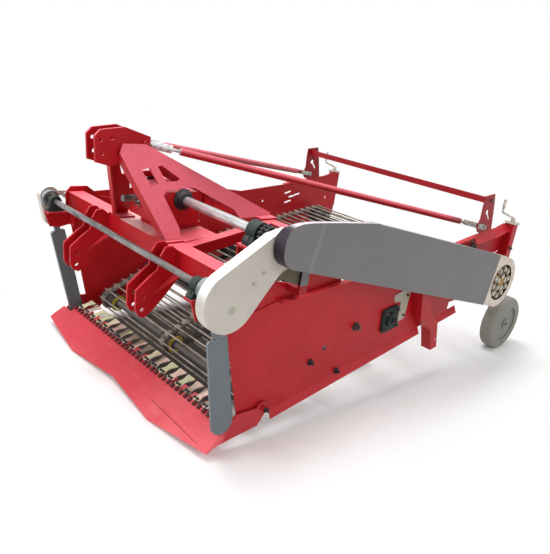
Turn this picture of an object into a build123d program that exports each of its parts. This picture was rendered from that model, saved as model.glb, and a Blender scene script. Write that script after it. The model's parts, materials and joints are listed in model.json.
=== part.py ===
"""Mounted potato digger, built as separate pieces.

Millimetres, +Z up, Y to the rear, +X to the machine's left. The machine is drawn about its
centre plane, X = 0, from the tips of the share at Y = 0, and stands on Z = 0. Each finished
piece is then moved so that the origin is on the floor, at the middle of the machine's box.
"""

import os
from math import acos, atan2, cos, hypot, pi, radians, sin

from build123d import *

os.makedirs("parts", exist_ok=True)

# ---------------------------------------------------------------- driving dimensions
track_inside = 1608.0          # between the two side panels
panel_t = 6.0                  # side panel plate
touch = 0.2                    # gap between parts that lie on each other but aren't welded
run_fit = 0.05                 # radial clearance of a shaft or pin in its hole
clear = 6.0                    # free space beside anything that moves

share_rise = 33.0              # degrees, slope of the share
share_depth = 185.0            # front tips to rear edge, measured along the floor
share_t = 12.0
share_side = 40.0              # the share is wider than the panels by this much on each side
tine_count = 16

beam_size = 100.0              # front beam, square tube
beam_y = 165.0                 # its middle
beam_z = 830.0
tube_wall = 6.0

hitch_span = 683.0             # lower hitch points, category 1
hitch_gap = 66.0               # between the two ears of a lower hitch point
hitch_pin_r = 11.2
hitch_low = (-56.0, 598.0)     # lower hole, Y and Z
hitch_high = (-57.0, 661.0)    # upper hole
top_pin_r = 9.75
top_holes = ((-131.0, 1332.0), (-121.0, 1268.0), (-73.0, 1342.0))

shake_axis = (0.0, 843.0)      # eccentric shaft, Y and Z
shake_r = 16.0
throw = 4.0                    # of the eccentrics
drive_axis = (285.0, 1062.0)   # cross shaft
drive_r = 20.0
input_z = 1040.0               # input shaft, on the centre plane
input_r = 17.4

chain_front = (400.0, 168.0)   # front turn of the rod chain, Y and Z
chain_rear = (2279.0, 643.0)   # driven shaft
chain_rollers = (              # Y, Z, radius to the inside of the belt, side of the belt
    (*chain_front, 52.0, 1),
    (948.0, 231.0, 30.0, -1),  # idler under the return run
    (*chain_rear, 64.0, 1),
    (1358.0, 472.0, 86.0, 1),  # roller under the top run
    (715.0, 339.0, 22.0, 1),   # small roller at the bend of the top run
)
belt_t = 6.0
belt_w = 60.0
rod_r = 5.5
rod_pitch = 65.0               # wished, the loop takes a whole number of rods
shaft_r = 17.5                 # shafts of the chain's rollers

wheel_r = 203.0
wheel_w = 104.0
post_size = 60.0               # corner post, square tube
post_wall = 6.0
leg_arm_t = 12.0

share_pivot = chain_front      # bolts that the share rocks on, in line with the front turn
arm_foot = (184.0, 105.0)      # pins that join the arms to the share
arm_w = 54.0
arm_d = 78.0

# ---------------------------------------------------------------- sizes that follow
panel_x = track_inside / 2     # inner face of a side panel
panel_out = panel_x + panel_t
share_width = 2 * (panel_out + share_side)
rod_length = track_inside - 112.0
belt_x = (-(panel_x - 94.0), 0.0, panel_x - 94.0)
arm_x = panel_x - 21.0
case_in = panel_out + 135.0    # side drive case
case_out = case_in + 65.0
cover_in = panel_out + 73.0    # front drive cover
cover_out = cover_in + 55.0
far_in = panel_out + 28.0      # cover of the far shaft end
far_out = far_in + 46.0
drive_shaft_end = panel_out + 94.0   # left end of the driven shaft, where the clutch takes over
beam_front = beam_y - beam_size / 2
beam_rear = beam_y + beam_size / 2
beam_top = beam_z + beam_size / 2
beam_low = beam_z - beam_size / 2
post_x = panel_out + post_size / 2
post_y = chain_rear[0] + 290.0
wheel_y = post_y + post_size / 2 + clear + wheel_r - 21.0
wheel_x = panel_out + 42.0     # middle of a wheel
wheel_out = wheel_x + wheel_w / 2

# ---------------------------------------------------------------- frame of the part
front_end = -163.0             # foremost point, on the head of the headstock
middle_x = (case_out - wheel_out) / 2
middle_y = (front_end + wheel_y + wheel_r) / 2


def keep(piece, name):
    """Move a finished piece to the part's frame, name it and write it."""
    placed = piece.moved(Location((-middle_x, -middle_y, 0)))
    placed.label = name
    export_step(placed, f"parts/{name}.step")


def side_plane(x):
    """Plane across X: its own X is the machine's Y and its own Y is up."""
    return Plane(origin=(x, 0, 0), x_dir=(0, 1, 0), z_dir=(1, 0, 0))


def front_plane(y):
    """Plane across Y that faces the front: its own X is the machine's X."""
    return Plane(origin=(0, y, 0), x_dir=(1, 0, 0), z_dir=(0, -1, 0))


SIDES = (("left", 1), ("right", -1))
box_low = 930.0                # underside of the gearbox

# ---------------------------------------------------------------- side panels
rear = chain_rear[0]           # what lies behind the top roller is placed from the driven shaft
band_start = 462.0             # the folded band along the lower edge, its front end
band_out = 22.0
band_drop = 42.0


def fold_z(y):
    """Height of the fold along the lower edge of a side panel."""
    return 127.0 + 0.182 * (y - 473.0)


def top_line(y):
    """Height of the straight top edge under the uprights."""
    return 922.0 + 0.11 * (y - rear + 159.0)


rear_edge = [(rear - 259, fold_z(rear - 259)), (rear - 257, 468), (rear - 68, 478), (rear + 51, 545),
             (post_y + post_size / 2, 690), (post_y + post_size / 2, 978), (post_y - 63, 978),
             (post_y - 159, top_line(post_y - 159)), (rear - 159, top_line(rear - 159))]
panel_outlines = {
    "left": [(264, fold_z(264)), *rear_edge, (rear - 422, 880), (918, 781), (725, 759), (410, 736),
             (306, 708), (101, 690)],
    "right": [(286, fold_z(286)), *rear_edge, (rear - 322, 889), (1498, 845), (1344, 863), (543, 890),
              (98, 865)],
}
lip_w = 28.0
lip_t = 5.0
rear_lip_w = 40.0
rear_lip_drop = 52.0
lips = {                                 # level folds along the top edge
    "left": [(410, 736), (725, 759), (918, 781), (rear - 422, 880),
             (rear - 159, top_line(rear - 159))],
    "right": [(rear - 322, 889), (rear - 159, top_line(rear - 159))],
}
slot_w = 14.0
wall_slots = (                           # middle Y from the driven shaft, middle Z, length, slope in degrees
    (-281, 820, 74, 14), (-231, 786, 68, 8), (-171, 801, 70, 12), (-267, 743, 78, 13), (225, 768, 62, 26),
)
wall_holes = ((rear + 190, 765, 13), (rear - 546, 757, 9))


def fold_strip(s, ends, width, drop):
    """Strip outside a panel from one (Y, Z) to the next, sloping down by drop over its width."""
    x0, x1 = panel_out, panel_out + width
    with BuildPart(mode=Mode.PRIVATE) as strip:
        for y, z in ends:
            with BuildSketch(front_plane(y)):
                with BuildLine():
                    Polyline((s * x0, z), (s * x1, z - drop), (s * (x1 - lip_t), z - drop),
                             (s * (x0 - lip_t), z), close=True)
                make_face()
        loft()
    return strip.part


for side, s in SIDES:
    inner = s * panel_x
    with BuildPart() as panel:
        with BuildSketch(side_plane(inner)):
            with BuildLine():
                Polyline(*panel_outlines[side], close=True)
            make_face()
        extrude(amount=s * panel_t)
        # level fold along the top edge
        with BuildSketch(side_plane(s * panel_out)):
            with BuildLine():
                Polyline(*lips[side], *[(y, z - lip_t) for y, z in reversed(lips[side])], close=True)
            make_face()
        extrude(amount=s * lip_w)
        # sloping folds along the lower edge and behind the uprights
        for start, end in ((band_start, 1700), (1885, rear - 168)):
            add(fold_strip(s, [(y, fold_z(y) + 3) for y in (start, end)], band_out, band_drop))
        add(fold_strip(s, [(y, top_line(y)) for y in (rear - 159, post_y - 159)], rear_lip_w, rear_lip_drop))
        # bolt at the front turn
        with BuildSketch(side_plane(s * panel_out)):
            with Locations(share_pivot):
                Circle(12)
        extrude(amount=s * 26)
        with BuildSketch(side_plane(s * (panel_out + 26))):
            with Locations(share_pivot):
                RegularPolygon(20, 6)
        extrude(amount=s * 12)
        with BuildSketch(side_plane(inner)):
            with Locations((817, 397)):
                Rectangle(34, 34)
            with Locations(chain_rollers[2][:2], chain_rollers[3][:2]):
                Circle(shaft_r + 3)
            for dy, z, length, slope in wall_slots:
                with Locations((rear + dy, z)):
                    SlotOverall(length, slot_w, rotation=slope)
            for y, z, r in wall_holes:
                with Locations((y, z)):
                    Circle(r)
        extrude(amount=s * panel_t, mode=Mode.SUBTRACT)
    keep(panel.part, f"{side}_panel")

# ---------------------------------------------------------------- main frame
rail_x = 310.0
rail_size = 60.0
cross_y = 785.0
cross_z = 930.0
stand_top = drive_axis[1] - 60.0
shelf_top = shake_axis[1] - 58.0
bearing_x = panel_x - 64.0     # bearing of the cross shaft
shelf_in = panel_x - 114.0     # brackets of the eccentric shaft's bearings
shelf_out = panel_x - 54.0
with BuildPart() as main_frame:
    # front beam
    with BuildSketch(side_plane(-(panel_x - 10))):
        with Locations((beam_y, beam_z)):
            Rectangle(beam_size, beam_size)
            Rectangle(beam_size - 2 * tube_wall, beam_size - 2 * tube_wall, mode=Mode.SUBTRACT)
    extrude(amount=2 * (panel_x - 10))
    # end plates of the beam, and the plates that carry the cross tube
    for side, s in SIDES:
        with BuildSketch(side_plane(s * (panel_x - 10))):
            with BuildLine():
                Polyline((beam_front - 11, 690), (beam_front - 11, beam_top), (beam_front + 15, beam_top + 32),
                         (beam_rear + 22, beam_top + 32), (330, 845), (374, 837), (444, 821), (556, 789),
                         (590, 800), (601, 847), (710, 846), (730, 960), (840, 960), (850, 800), (872, 700),
                         (330, 660), close=True)
            make_face()
        extrude(amount=s * 10)
    # rear cross tube
    with BuildSketch(side_plane(-(panel_x - 10))):
        with Locations((cross_y, cross_z)):
            Rectangle(80, 60)
            Rectangle(80 - 2 * tube_wall, 60 - 2 * tube_wall, mode=Mode.SUBTRACT)
    extrude(amount=2 * (panel_x - 10))
    # lengthwise rails between beam and cross tube
    for x in (-rail_x, rail_x):
        with BuildSketch(front_plane(beam_rear)) as rail_front:
            with Locations((x, beam_z + 10)):
                Rectangle(rail_size, rail_size)
        with BuildSketch(front_plane(cross_y - 40)) as rail_rear:
            with Locations((x, cross_z)):
                Rectangle(rail_size, rail_size)
        loft()
    # floor plate that carries the gearbox
    with BuildSketch(side_plane(-(rail_x - rail_size / 2))):
        with BuildLine():
            Polyline((beam_rear, beam_top - 12), (430, beam_top + 13), (430, beam_top + 23),
                     (beam_rear, beam_top - 2), close=True)
        make_face()
    extrude(amount=2 * (rail_x - rail_size / 2))
    with BuildSketch(side_plane(-120)):
        with BuildLine():
            Polyline((beam_rear, beam_top - 2), (430, beam_top + 23), (430, box_low), (beam_rear, box_low), close=True)
        make_face()
    extrude(amount=240)
    # brackets for the bearings of the eccentric shaft
    for s in (-1, 1):
        with BuildSketch(side_plane(s * shelf_in)):
            with BuildLine():
                Polyline((-50, shelf_top - 12), (-50, shelf_top), (beam_front, shelf_top), (beam_front, 690),
                         (beam_front - 8, 690), (beam_front - 8, shelf_top - 12), close=True)
            make_face()
        extrude(amount=s * (shelf_out - shelf_in))
        with BuildSketch(side_plane(s * shelf_out)):
            with BuildLine():
                Polyline((-50, shelf_top - 12), (-17, 684), (45, 677), (beam_front, 694), (beam_front, shelf_top),
                         (-50, shelf_top), close=True)
            make_face()
        extrude(amount=-s * 8)
    # stand for the bearing of the cross shaft
    with BuildSketch(Plane.XY.offset(stand_top - 12)):
        with Locations((bearing_x, drive_axis[0])):
            Rectangle(100, 150)
    extrude(amount=12)
    for x, low in ((bearing_x - 46, beam_top - 20), (bearing_x + 38, 800)):
        with BuildSketch(side_plane(x)):
            with BuildLine():
                Polyline((beam_rear, beam_top - 20), (330, low), (drive_axis[0] + 75, stand_top - 12),
                         (drive_axis[0] - 75, stand_top - 12), close=True)
            make_face()
        extrude(amount=8)
keep(main_frame.part, "main_frame")

# ---------------------------------------------------------------- headstock
cheek_lean = 26.5              # degrees, how far a cheek leans out towards its foot
cheek_top = (40.0, 1350.0)     # X and Z of a line on the cheek's outer face
cheek_t = 10.0
flange_w = 36.0


def cheek_plane(s):
    """Plane of a cheek's outer face; points are given by Y and by their height Z."""
    lean = radians(cheek_lean)
    return Plane(origin=(s * cheek_top[0], 0, cheek_top[1]), x_dir=(0, 1, 0),
                 z_dir=(s * cos(lean), 0, sin(lean)))


def on_cheek(s, points):
    """Y and Z of points on a leaning cheek, in the sketch of its plane."""
    return [(y, s * (z - cheek_top[1]) / cos(radians(cheek_lean))) for y, z in points]


cheek_outline = [(-45, 1275), (-20, 1320), (105, 1320), (839, 984), (839, 966), (615, 966), (578, 1012), (350, 1120),
                 (310, 1124), (170, 1108), (155, 1090), (beam_rear - 1, 940), (beam_rear - 1, beam_top + 12),
                 (beam_front + 9, beam_top + 12)]
cheek_windows = ([(55, 1207), (102, 1216), (137, 1143), (94, 1135)],
                 [(149, 1222), (175, 1226), (268, 1165), (254, 1155), (185, 1150)])
head_outline = [(-163, 1350), (-136, 1379), (-11, 1397), (134, 1355), (134, 1295), (-69, 1208), (-153, 1228)]
head_gap = 70.0
head_t = 12.0
stay_pin = (106.0, 1323.0)
stay_pin_r = 10.0
with BuildPart() as headstock:
    for s in (-1, 1):
        with BuildSketch(cheek_plane(s)):
            with BuildLine():
                Polyline(*on_cheek(s, cheek_outline), close=True)
            make_face()
            for window in cheek_windows:
                with BuildLine():
                    Polyline(*on_cheek(s, window), close=True)
                make_face(mode=Mode.SUBTRACT)
        extrude(amount=-cheek_t)
        # folded edge down the front leg
        with BuildSketch(cheek_plane(s).offset(-cheek_t)):
            with BuildLine():
                Polyline(*on_cheek(s, [(-45, 1275), (beam_front - 1, beam_top + 34), (beam_front + 9, beam_top + 34),
                                       (-35, 1275)]), close=True)
            make_face()
        extrude(amount=-flange_w)
        # head plate with the three top link holes
        with BuildSketch(side_plane(s * head_gap / 2)):
            with BuildLine():
                Polyline(*head_outline, close=True)
            make_face()
            with Locations(*top_holes):
                Circle(top_pin_r, mode=Mode.SUBTRACT)
            with Locations(stay_pin):
                Circle(stay_pin_r, mode=Mode.SUBTRACT)
        extrude(amount=s * head_t)
    # bridge between the head plates and the cheeks
    with BuildSketch(side_plane(-70)):
        with BuildLine():
            Polyline((-27, 1264), (118, 1277), (118, 1287), (-27, 1274), close=True)
        make_face()
    extrude(amount=140)
    # feet on the beam and on the cross tube
    for s in (-1, 1):
        with BuildSketch(Plane.XY.offset(beam_top)):
            with Locations((s * 235, beam_y)):
                Rectangle(110, beam_size)
        extrude(amount=10)
        with BuildSketch(Plane.XY.offset(cross_z + 30)):
            with Locations((s * 228, cross_y)):
                Rectangle(110, 120)
        extrude(amount=10)
    # pin for the stays
    with BuildSketch(side_plane(-(head_gap / 2 + head_t + 8))):
        with Locations(stay_pin):
            Circle(stay_pin_r)
    extrude(amount=head_gap + 2 * head_t + 16)
keep(headstock.part, "headstock")

# ---------------------------------------------------------------- lower hitch
ear_t = 12.0
rib_low = (-2.0, 680.0)        # the ribs beside the ears, Y and Z of their two ends
rib_high = (beam_front + 2, beam_low - 4.0)
rib_w = 56.0
for side, s in SIDES:
    middle = s * hitch_span / 2
    with BuildPart() as hitch:
        for offset in (-hitch_gap / 2 - ear_t, hitch_gap / 2):
            with BuildSketch(side_plane(middle + offset)):
                with BuildLine():
                    Polyline((-97, 702), (-92, 600), (-74, 569), (-45, 556), (-7, 581), (55, 644),
                             (beam_front, 715), (beam_front, beam_top), (84, beam_top + 23),
                             (47, beam_top + 20), (23, beam_top - 22), (13, 792), (-18, 771), (-68, 728),
                             close=True)
                make_face()
                with Locations(hitch_low, hitch_high):
                    Circle(hitch_pin_r, mode=Mode.SUBTRACT)
            extrude(amount=ear_t)
        # saddle on the beam
        with BuildSketch(side_plane(middle - hitch_gap / 2)):
            with BuildLine():
                Polyline((beam_front, 730), (beam_front, beam_top), (beam_front - 12, beam_top),
                         (beam_front - 12, 730), close=True)
            make_face()
        extrude(amount=hitch_gap)
        # ribs on both outer faces
        rise = atan2(rib_high[1] - rib_low[1], rib_high[0] - rib_low[0])
        rib_length = hypot(rib_high[0] - rib_low[0], rib_high[1] - rib_low[1])
        for t in (-1, 1):
            edge = middle + t * (hitch_gap / 2 + ear_t)
            rib_plane = Plane(origin=(edge, *rib_low), x_dir=(0, cos(rise), sin(rise)),
                              z_dir=(0, -sin(rise), cos(rise)))
            with BuildSketch(rib_plane):
                with BuildLine():
                    # its own Y points to the machine's right
                    Polyline((0, 0), (rib_length, 0), (rib_length, -t * rib_w), close=True)
                make_face()
            extrude(amount=-8)
    keep(hitch.part, f"{side}_hitch")

# ---------------------------------------------------------------- uprights, cross bar and stays
bar_y = rear - 64.0
bar_z = 1150.0
bar_h = 40.0
stay_end = (rear - 70.0, 976.0)
for side, s in SIDES:
    with BuildPart() as upright:
        with BuildSketch(side_plane(s * panel_x)):
            with BuildLine():
                Polyline((rear - 119, 1180), (rear - 4, 1193), (rear + 21, 1120),
                         (rear + 66, top_line(rear + 66) + touch), (rear - 79, top_line(rear - 79) + touch),
                         (rear - 112, 940), (rear - 134, 968), (rear - 130, 1000), (rear - 116, 1030),
                         (rear - 121, 1117), close=True)
            make_face()
            with Locations(stay_end):
                Circle(8, mode=Mode.SUBTRACT)
            with Locations((rear - 50, 1072)):
                Circle(17, mode=Mode.SUBTRACT)
            with Locations((rear - 28, 1047)):
                SlotOverall(78, 15, rotation=-48, mode=Mode.SUBTRACT)
        extrude(amount=s * panel_t)
    keep(upright.part, f"{side}_upright")
with BuildPart() as cross_bar:
    with BuildSketch(side_plane(-panel_x)):
        with Locations((bar_y, bar_z)):
            Rectangle(26, bar_h)
            with Locations((6, 4)):
                Rectangle(26, bar_h, mode=Mode.SUBTRACT)
    extrude(amount=2 * panel_x)
keep(cross_bar.part, "cross_bar")

stay_r = 19.0
stay_ends = {"left": (192.0, 146.0), "right": (258.0, 206.0)}   # from the upright's pin: tube, fork
for side, s in SIDES:
    start = Vector(s * 14, *stay_pin)
    end = Vector(s * (panel_x + panel_t / 2), *stay_end)
    along = (end - start).normalized()
    line = Plane(origin=start, z_dir=along)
    length = (end - start).length
    tube_end, fork_end = stay_ends[side]
    with BuildPart() as stay:
        # eye on the headstock's pin, and the sleeve behind it
        with BuildSketch(side_plane(start.X - 10)):
            with Locations(stay_pin):
                Circle(22)
        extrude(amount=20)
        for begin, finish, r in ((12, 200, 9), (46, 152, 21), (196, length - tube_end, stay_r),
                                 (length - tube_end - 5, length - fork_end + 40, 8)):
            with BuildSketch(line.offset(begin)):
                Circle(r)
            extrude(amount=finish - begin)
        # fork on the upright
        fork = Plane(origin=end, x_dir=along, z_dir=along.cross(Vector(0, 0, 1)))
        with BuildSketch(fork.offset(-21)):
            with BuildLine():
                Polyline((18, 16), (18, -16), (-fork_end, -16), (-fork_end, 16), close=True)
            make_face()
        extrude(amount=42)
        with BuildSketch(side_plane(s * (panel_x - touch))):
            with Locations((rear - 50, stay_end[1])):
                Rectangle(2 * 88, 120)
        extrude(amount=s * (panel_t + 2 * touch), mode=Mode.SUBTRACT)
        with BuildSketch(side_plane(start.X - 20)):
            with Locations(stay_pin):
                Circle(stay_pin_r + touch)
        extrude(amount=40, mode=Mode.SUBTRACT)
        with BuildSketch(side_plane(end.X - 30)):
            with Locations(stay_end):
                Circle(8 - touch)
        extrude(amount=60)
    keep(stay.part, f"{side}_stay")

# ---------------------------------------------------------------- corner posts, legs, wheels
post_low = 600.0
post_high = 985.0
leg_size = post_size - 2 * post_wall - 1.0
leg_low = wheel_r + 97.0
leg_high = 850.0
axle_r = 15.0
crank_x, crank_y = -58.0, -66.0     # from the post's middle to the crank's grip
for side, s in SIDES:
    with BuildPart() as post:
        with BuildSketch(Plane.XY.offset(post_low)):
            with Locations((s * post_x, post_y)):
                Rectangle(post_size, post_size)
                Rectangle(post_size - 2 * post_wall, post_size - 2 * post_wall, mode=Mode.SUBTRACT)
        extrude(amount=post_high - post_low)
    keep(post.part, f"{side}_corner_post")

    with BuildPart() as crank:
        with BuildSketch(Plane.XY.offset(post_high)):
            with Locations((s * post_x, post_y)):
                Circle(51)
        extrude(amount=6)
        with BuildSketch(Plane.XY.offset(post_high + 6)):
            with Locations((s * post_x, post_y)):
                Circle(14)
        extrude(amount=30)
        hub = (s * post_x, post_y, post_high + 36)
        grip = (s * post_x + crank_x, post_y + crank_y, post_high + 66)
        with BuildLine():
            FilletPolyline(hub, grip, (grip[0], grip[1], post_high + 150), radius=15)
        with BuildSketch(Plane(origin=hub, z_dir=(crank_x, crank_y, 30))):
            Circle(7)
        sweep()
        with BuildSketch(Plane(origin=(grip[0], grip[1], post_high + 96), z_dir=(0, 0, 1))):
            Circle(10)
        extrude(amount=58)
    keep(crank.part, f"{side}_crank")

    with BuildPart() as leg:
        with BuildSketch(Plane.XY.offset(leg_low)):
            with Locations((s * post_x, post_y)):
                Rectangle(leg_size, leg_size)
        extrude(amount=leg_high - leg_low)
        # foot of the leg, inwards past the wheel, and the trailing arm
        arm_in = wheel_x - wheel_w / 2 - clear - leg_arm_t
        with BuildSketch(Plane.XY.offset(leg_low)):
            with Locations((s * (arm_in + post_x + leg_size / 2) / 2, post_y)):
                Rectangle(post_x + leg_size / 2 - arm_in, leg_size)
        extrude(amount=45)
        with BuildSketch(side_plane(s * arm_in)):
            with BuildLine():
                Polyline((post_y - leg_size / 2, leg_low), (post_y - leg_size / 2, leg_low + 45),
                         (post_y + leg_size / 2, leg_low + 45), (wheel_y + 32, wheel_r + 30),
                         (wheel_y + 32, wheel_r - 30), (wheel_y - 30, wheel_r - 30), close=True)
            make_face()
        extrude(amount=s * leg_arm_t)
        with BuildSketch(side_plane(s * arm_in)):
            with Locations((wheel_y, wheel_r)):
                Circle(axle_r)
        extrude(amount=s * (wheel_out - 4 - arm_in))
    keep(leg.part, f"{side}_leg")

    with BuildPart() as wheel:
        with BuildSketch(side_plane(s * (wheel_x - wheel_w / 2))):
            with Locations((wheel_y, wheel_r)):
                Circle(wheel_r)
        extrude(amount=s * wheel_w)
        fillet(wheel.edges().filter_by(GeomType.CIRCLE), 26)
        for face_x, depth in ((wheel_x + wheel_w / 2, -12), (wheel_x - wheel_w / 2, 12)):
            with BuildSketch(side_plane(s * face_x)):
                with Locations((wheel_y, wheel_r)):
                    Circle(0.64 * wheel_r)
                    Circle(36, mode=Mode.SUBTRACT)
            extrude(amount=s * depth, mode=Mode.SUBTRACT)
        with BuildSketch(side_plane(s * (wheel_x - wheel_w / 2))):
            with Locations((wheel_y, wheel_r)):
                Circle(axle_r + run_fit)
        extrude(amount=s * wheel_w, mode=Mode.SUBTRACT)
    keep(wheel.part, f"{side}_wheel")

# ---------------------------------------------------------------- feet
foot_w = 70.0
foot_t = 6.0
foot_outline = [(1550, 640), (1595, 456), (1745, 345), (1802, 195), (1870, 205), (1812, 385), (1707, 470),
                (1650, 640)]
foot_inside = [(1564, 650), (1608, 462), (1758, 350), (1812, 190), (1900, 190), (1900, 650)]
for side, s in SIDES:
    with BuildPart() as foot:
        with BuildSketch(side_plane(s * (panel_out + touch))):
            with BuildLine():
                Polyline(*foot_outline, close=True)
            make_face()
        extrude(amount=s * foot_w)
        with BuildSketch(side_plane(s * (panel_out + touch))):
            with BuildLine():
                Polyline(*foot_inside, close=True)
            make_face()
        extrude(amount=s * (foot_w - foot_t), mode=Mode.SUBTRACT)
        with BuildSketch(side_plane(s * (panel_out + foot_w / 2))):
            with Locations((1838, 262)):
                Circle(9)
        extrude(amount=s * foot_w, mode=Mode.SUBTRACT)
    keep(foot.part, f"{side}_foot")

# ---------------------------------------------------------------- gearbox and input shaft
box_half = 150.0
box_front = 156.0
box_rear = 403.0
collar = 40.0                  # the input shaft's bearing, on the front of the box
input_step = 3.0               # the shaft is thicker where it runs in the collar
with BuildPart() as gearbox:
    with BuildSketch(side_plane(-box_half)):
        with BuildLine():
            Polyline((box_front, box_low), (box_rear, box_low), (box_rear, 1070), (375, 1100), (190, 1100),
                     (box_front, 1075), close=True)
        make_face()
    extrude(amount=2 * box_half)
    chamfer(gearbox.edges().filter_by(Axis.Z), 8)
    with BuildSketch(side_plane(box_half)):
        with Locations(drive_axis):
            Circle(46)
    extrude(amount=14)
    with BuildSketch(side_plane(-box_half)):
        with Locations(drive_axis):
            Circle(46)
    extrude(amount=-14)
    with BuildSketch(front_plane(box_front)):
        with Locations((0, input_z)):
            Circle(50)
    extrude(amount=collar)
    with BuildSketch(front_plane(box_front + collar)):
        with Locations((0, input_z)):
            Circle(input_r + input_step + run_fit)
    extrude(amount=2 * collar, mode=Mode.SUBTRACT)
    with BuildSketch(side_plane(box_half - 40)):
        with Locations(drive_axis):
            Circle(drive_r + run_fit)
    extrude(amount=80, mode=Mode.SUBTRACT)
keep(gearbox.part, "gearbox")

input_length = 85.0            # end for the tractor's drive shaft, in front of the collar
input_front = box_front - collar - 4 - input_length
with BuildPart() as input_shaft:
    with BuildSketch(front_plane(input_front + input_length)):
        with Locations((0, input_z)):
            Circle(input_r + input_step)
    extrude(amount=-(2 * collar))
    with BuildSketch(front_plane(input_front)):
        with Locations((0, input_z)):
            Circle(input_r)
    extrude(amount=-input_length)
keep(input_shaft.part, "input_shaft")

# ---------------------------------------------------------------- cross shaft and its bearing
bearing_w = 64.0
tube_r = 24.0
cross_end = case_out - 10.0
with BuildPart() as cross_shaft:
    with BuildSketch(side_plane(box_half - 38)):
        with Locations(drive_axis):
            Circle(drive_r)
    extrude(amount=cross_end - box_half + 38)
    with BuildSketch(side_plane(box_half + 14 + clear)):
        with Locations(drive_axis):
            Circle(tube_r)
    extrude(amount=bearing_x - bearing_w / 2 - clear - box_half - 14 - clear)
keep(cross_shaft.part, "cross_shaft")

with BuildPart() as shaft_bearing:
    with BuildSketch(side_plane(bearing_x - bearing_w / 2)):
        with Locations(drive_axis):
            Circle(50)
        with BuildLine():
            Polyline((drive_axis[0] - 62, stand_top), (drive_axis[0] + 62, stand_top),
                     (drive_axis[0] + 62, stand_top + 22), (drive_axis[0] + 45, stand_top + 50),
                     (drive_axis[0] - 45, stand_top + 50), (drive_axis[0] - 62, stand_top + 22), close=True)
        make_face()
        with Locations(drive_axis):
            Circle(drive_r + run_fit, mode=Mode.SUBTRACT)
    extrude(amount=bearing_w)
keep(shaft_bearing.part, "cross_shaft_bearing")

# ---------------------------------------------------------------- side drive case and clutch
case_front_r = 91.0
case_rear_r = 171.0
case_open_r = 122.0
seam = [(rear - 122, 822), (rear - 185, 486)]    # the outer plate ends here, in front of the open round end
strut_y, strut_z = 486.0, 796.0
with BuildPart() as case:
    with BuildSketch(side_plane(case_in)):
        with Locations(drive_axis):
            Circle(case_front_r)
        with Locations(chain_rear):
            Circle(case_rear_r)
        with BuildLine():
            Polyline((drive_axis[0] - 45, drive_axis[1] + 88), (drive_axis[0] + 535, drive_axis[1] + 73),
                     (rear + 40, chain_rear[1] + 167), (rear - 49, chain_rear[1] - 163),
                     (drive_axis[0] - 23, drive_axis[1] - 87), close=True)
        make_face()
    extrude(amount=case_out - case_in)
    with BuildSketch(side_plane(case_in)):
        with Locations(drive_axis):
            Circle(drive_r + 3)
    extrude(amount=case_out - case_in - 6, mode=Mode.SUBTRACT)
    # the round end lies a little deeper than the outer plate, and shows the clutch
    with BuildSketch(side_plane(case_out)):
        with BuildLine():
            Polyline((seam[0][0] + 8, seam[0][1] + 43), (rear + 250, seam[0][1] + 43),
                     (rear + 250, seam[1][1] - 53), (seam[1][0] - 10, seam[1][1] - 53), close=True)
        make_face()
    extrude(amount=-5, mode=Mode.SUBTRACT)
    with BuildSketch(side_plane(case_out)):
        with Locations(chain_rear):
            Circle(case_open_r)
    extrude(amount=-(case_out - case_in - 6), mode=Mode.SUBTRACT)
    with BuildSketch(side_plane(case_in)):
        with Locations(chain_rear):
            Circle(40)
    extrude(amount=-(case_in - panel_out - 12))
    with BuildSketch(side_plane(panel_out)):
        with Locations(chain_rear):
            Circle(70)
    extrude(amount=12)
    with BuildSketch(side_plane(panel_out)):
        with Locations(chain_rear):
            Circle(shaft_r + 4.5)
    extrude(amount=case_out - panel_out, mode=Mode.SUBTRACT)
    # front strut down to the frame
    for x0, x1, z0, z1 in ((panel_x, panel_out + 75, strut_z - 16, strut_z + 16),
                           (panel_out + 60, panel_out + 75, strut_z - 16, 940),
                           (panel_out + 60, case_in, 924, 940)):
        with BuildSketch(side_plane(x0)):
            with Locations((strut_y, (z0 + z1) / 2)):
                Rectangle(50, z1 - z0)
        extrude(amount=x1 - x0)
keep(case.part, "side_drive_case")

# ---------------------------------------------------------------- front drive cover
cover_r = 138.0
with BuildPart() as cover:
    with BuildSketch(side_plane(cover_in)):
        with Locations((7, 838)):
            Circle(cover_r)
        with Locations((214, 1056)):
            Circle(53)
        with Locations(drive_axis):
            Circle(62)
        make_hull()
    extrude(amount=cover_out - cover_in)
    with BuildSketch(side_plane(cover_in)):
        with Locations(drive_axis):
            Circle(drive_r + 3)
    extrude(amount=cover_out - cover_in, mode=Mode.SUBTRACT)
    with BuildSketch(side_plane(cover_in)):
        with Locations(shake_axis):
            Circle(shake_r + 3)
    extrude(amount=cover_out - cover_in - 6, mode=Mode.SUBTRACT)
    with BuildSketch(side_plane(panel_x)):
        with Locations((150, 860)):
            Rectangle(50, 30)
    extrude(amount=cover_in - panel_x)
keep(cover.part, "front_drive_cover")

with BuildPart() as far_cover:
    with BuildSketch(side_plane(-far_in)):
        with Locations((20, 843)):
            Circle(58)
        with Locations((30, 700)):
            Circle(34)
        make_hull()
    extrude(amount=-(far_out - far_in))
    with BuildSketch(side_plane(-far_in)):
        with Locations(shake_axis):
            Circle(shake_r + 3)
    extrude(amount=-(far_out - far_in - 5), mode=Mode.SUBTRACT)
    with BuildSketch(side_plane(-(panel_out + touch))):
        with Locations((122, 846)):
            Rectangle(24, 30)
    extrude(amount=-(far_out - panel_out - 20))
    with BuildSketch(side_plane(-(far_in + 8))):
        with BuildLine():
            Polyline((60, 845), (130, 845), (130, 875), (60, 875), close=True)
        make_face()
    extrude(amount=-18)
keep(far_cover.part, "far_shaft_cover")

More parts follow.
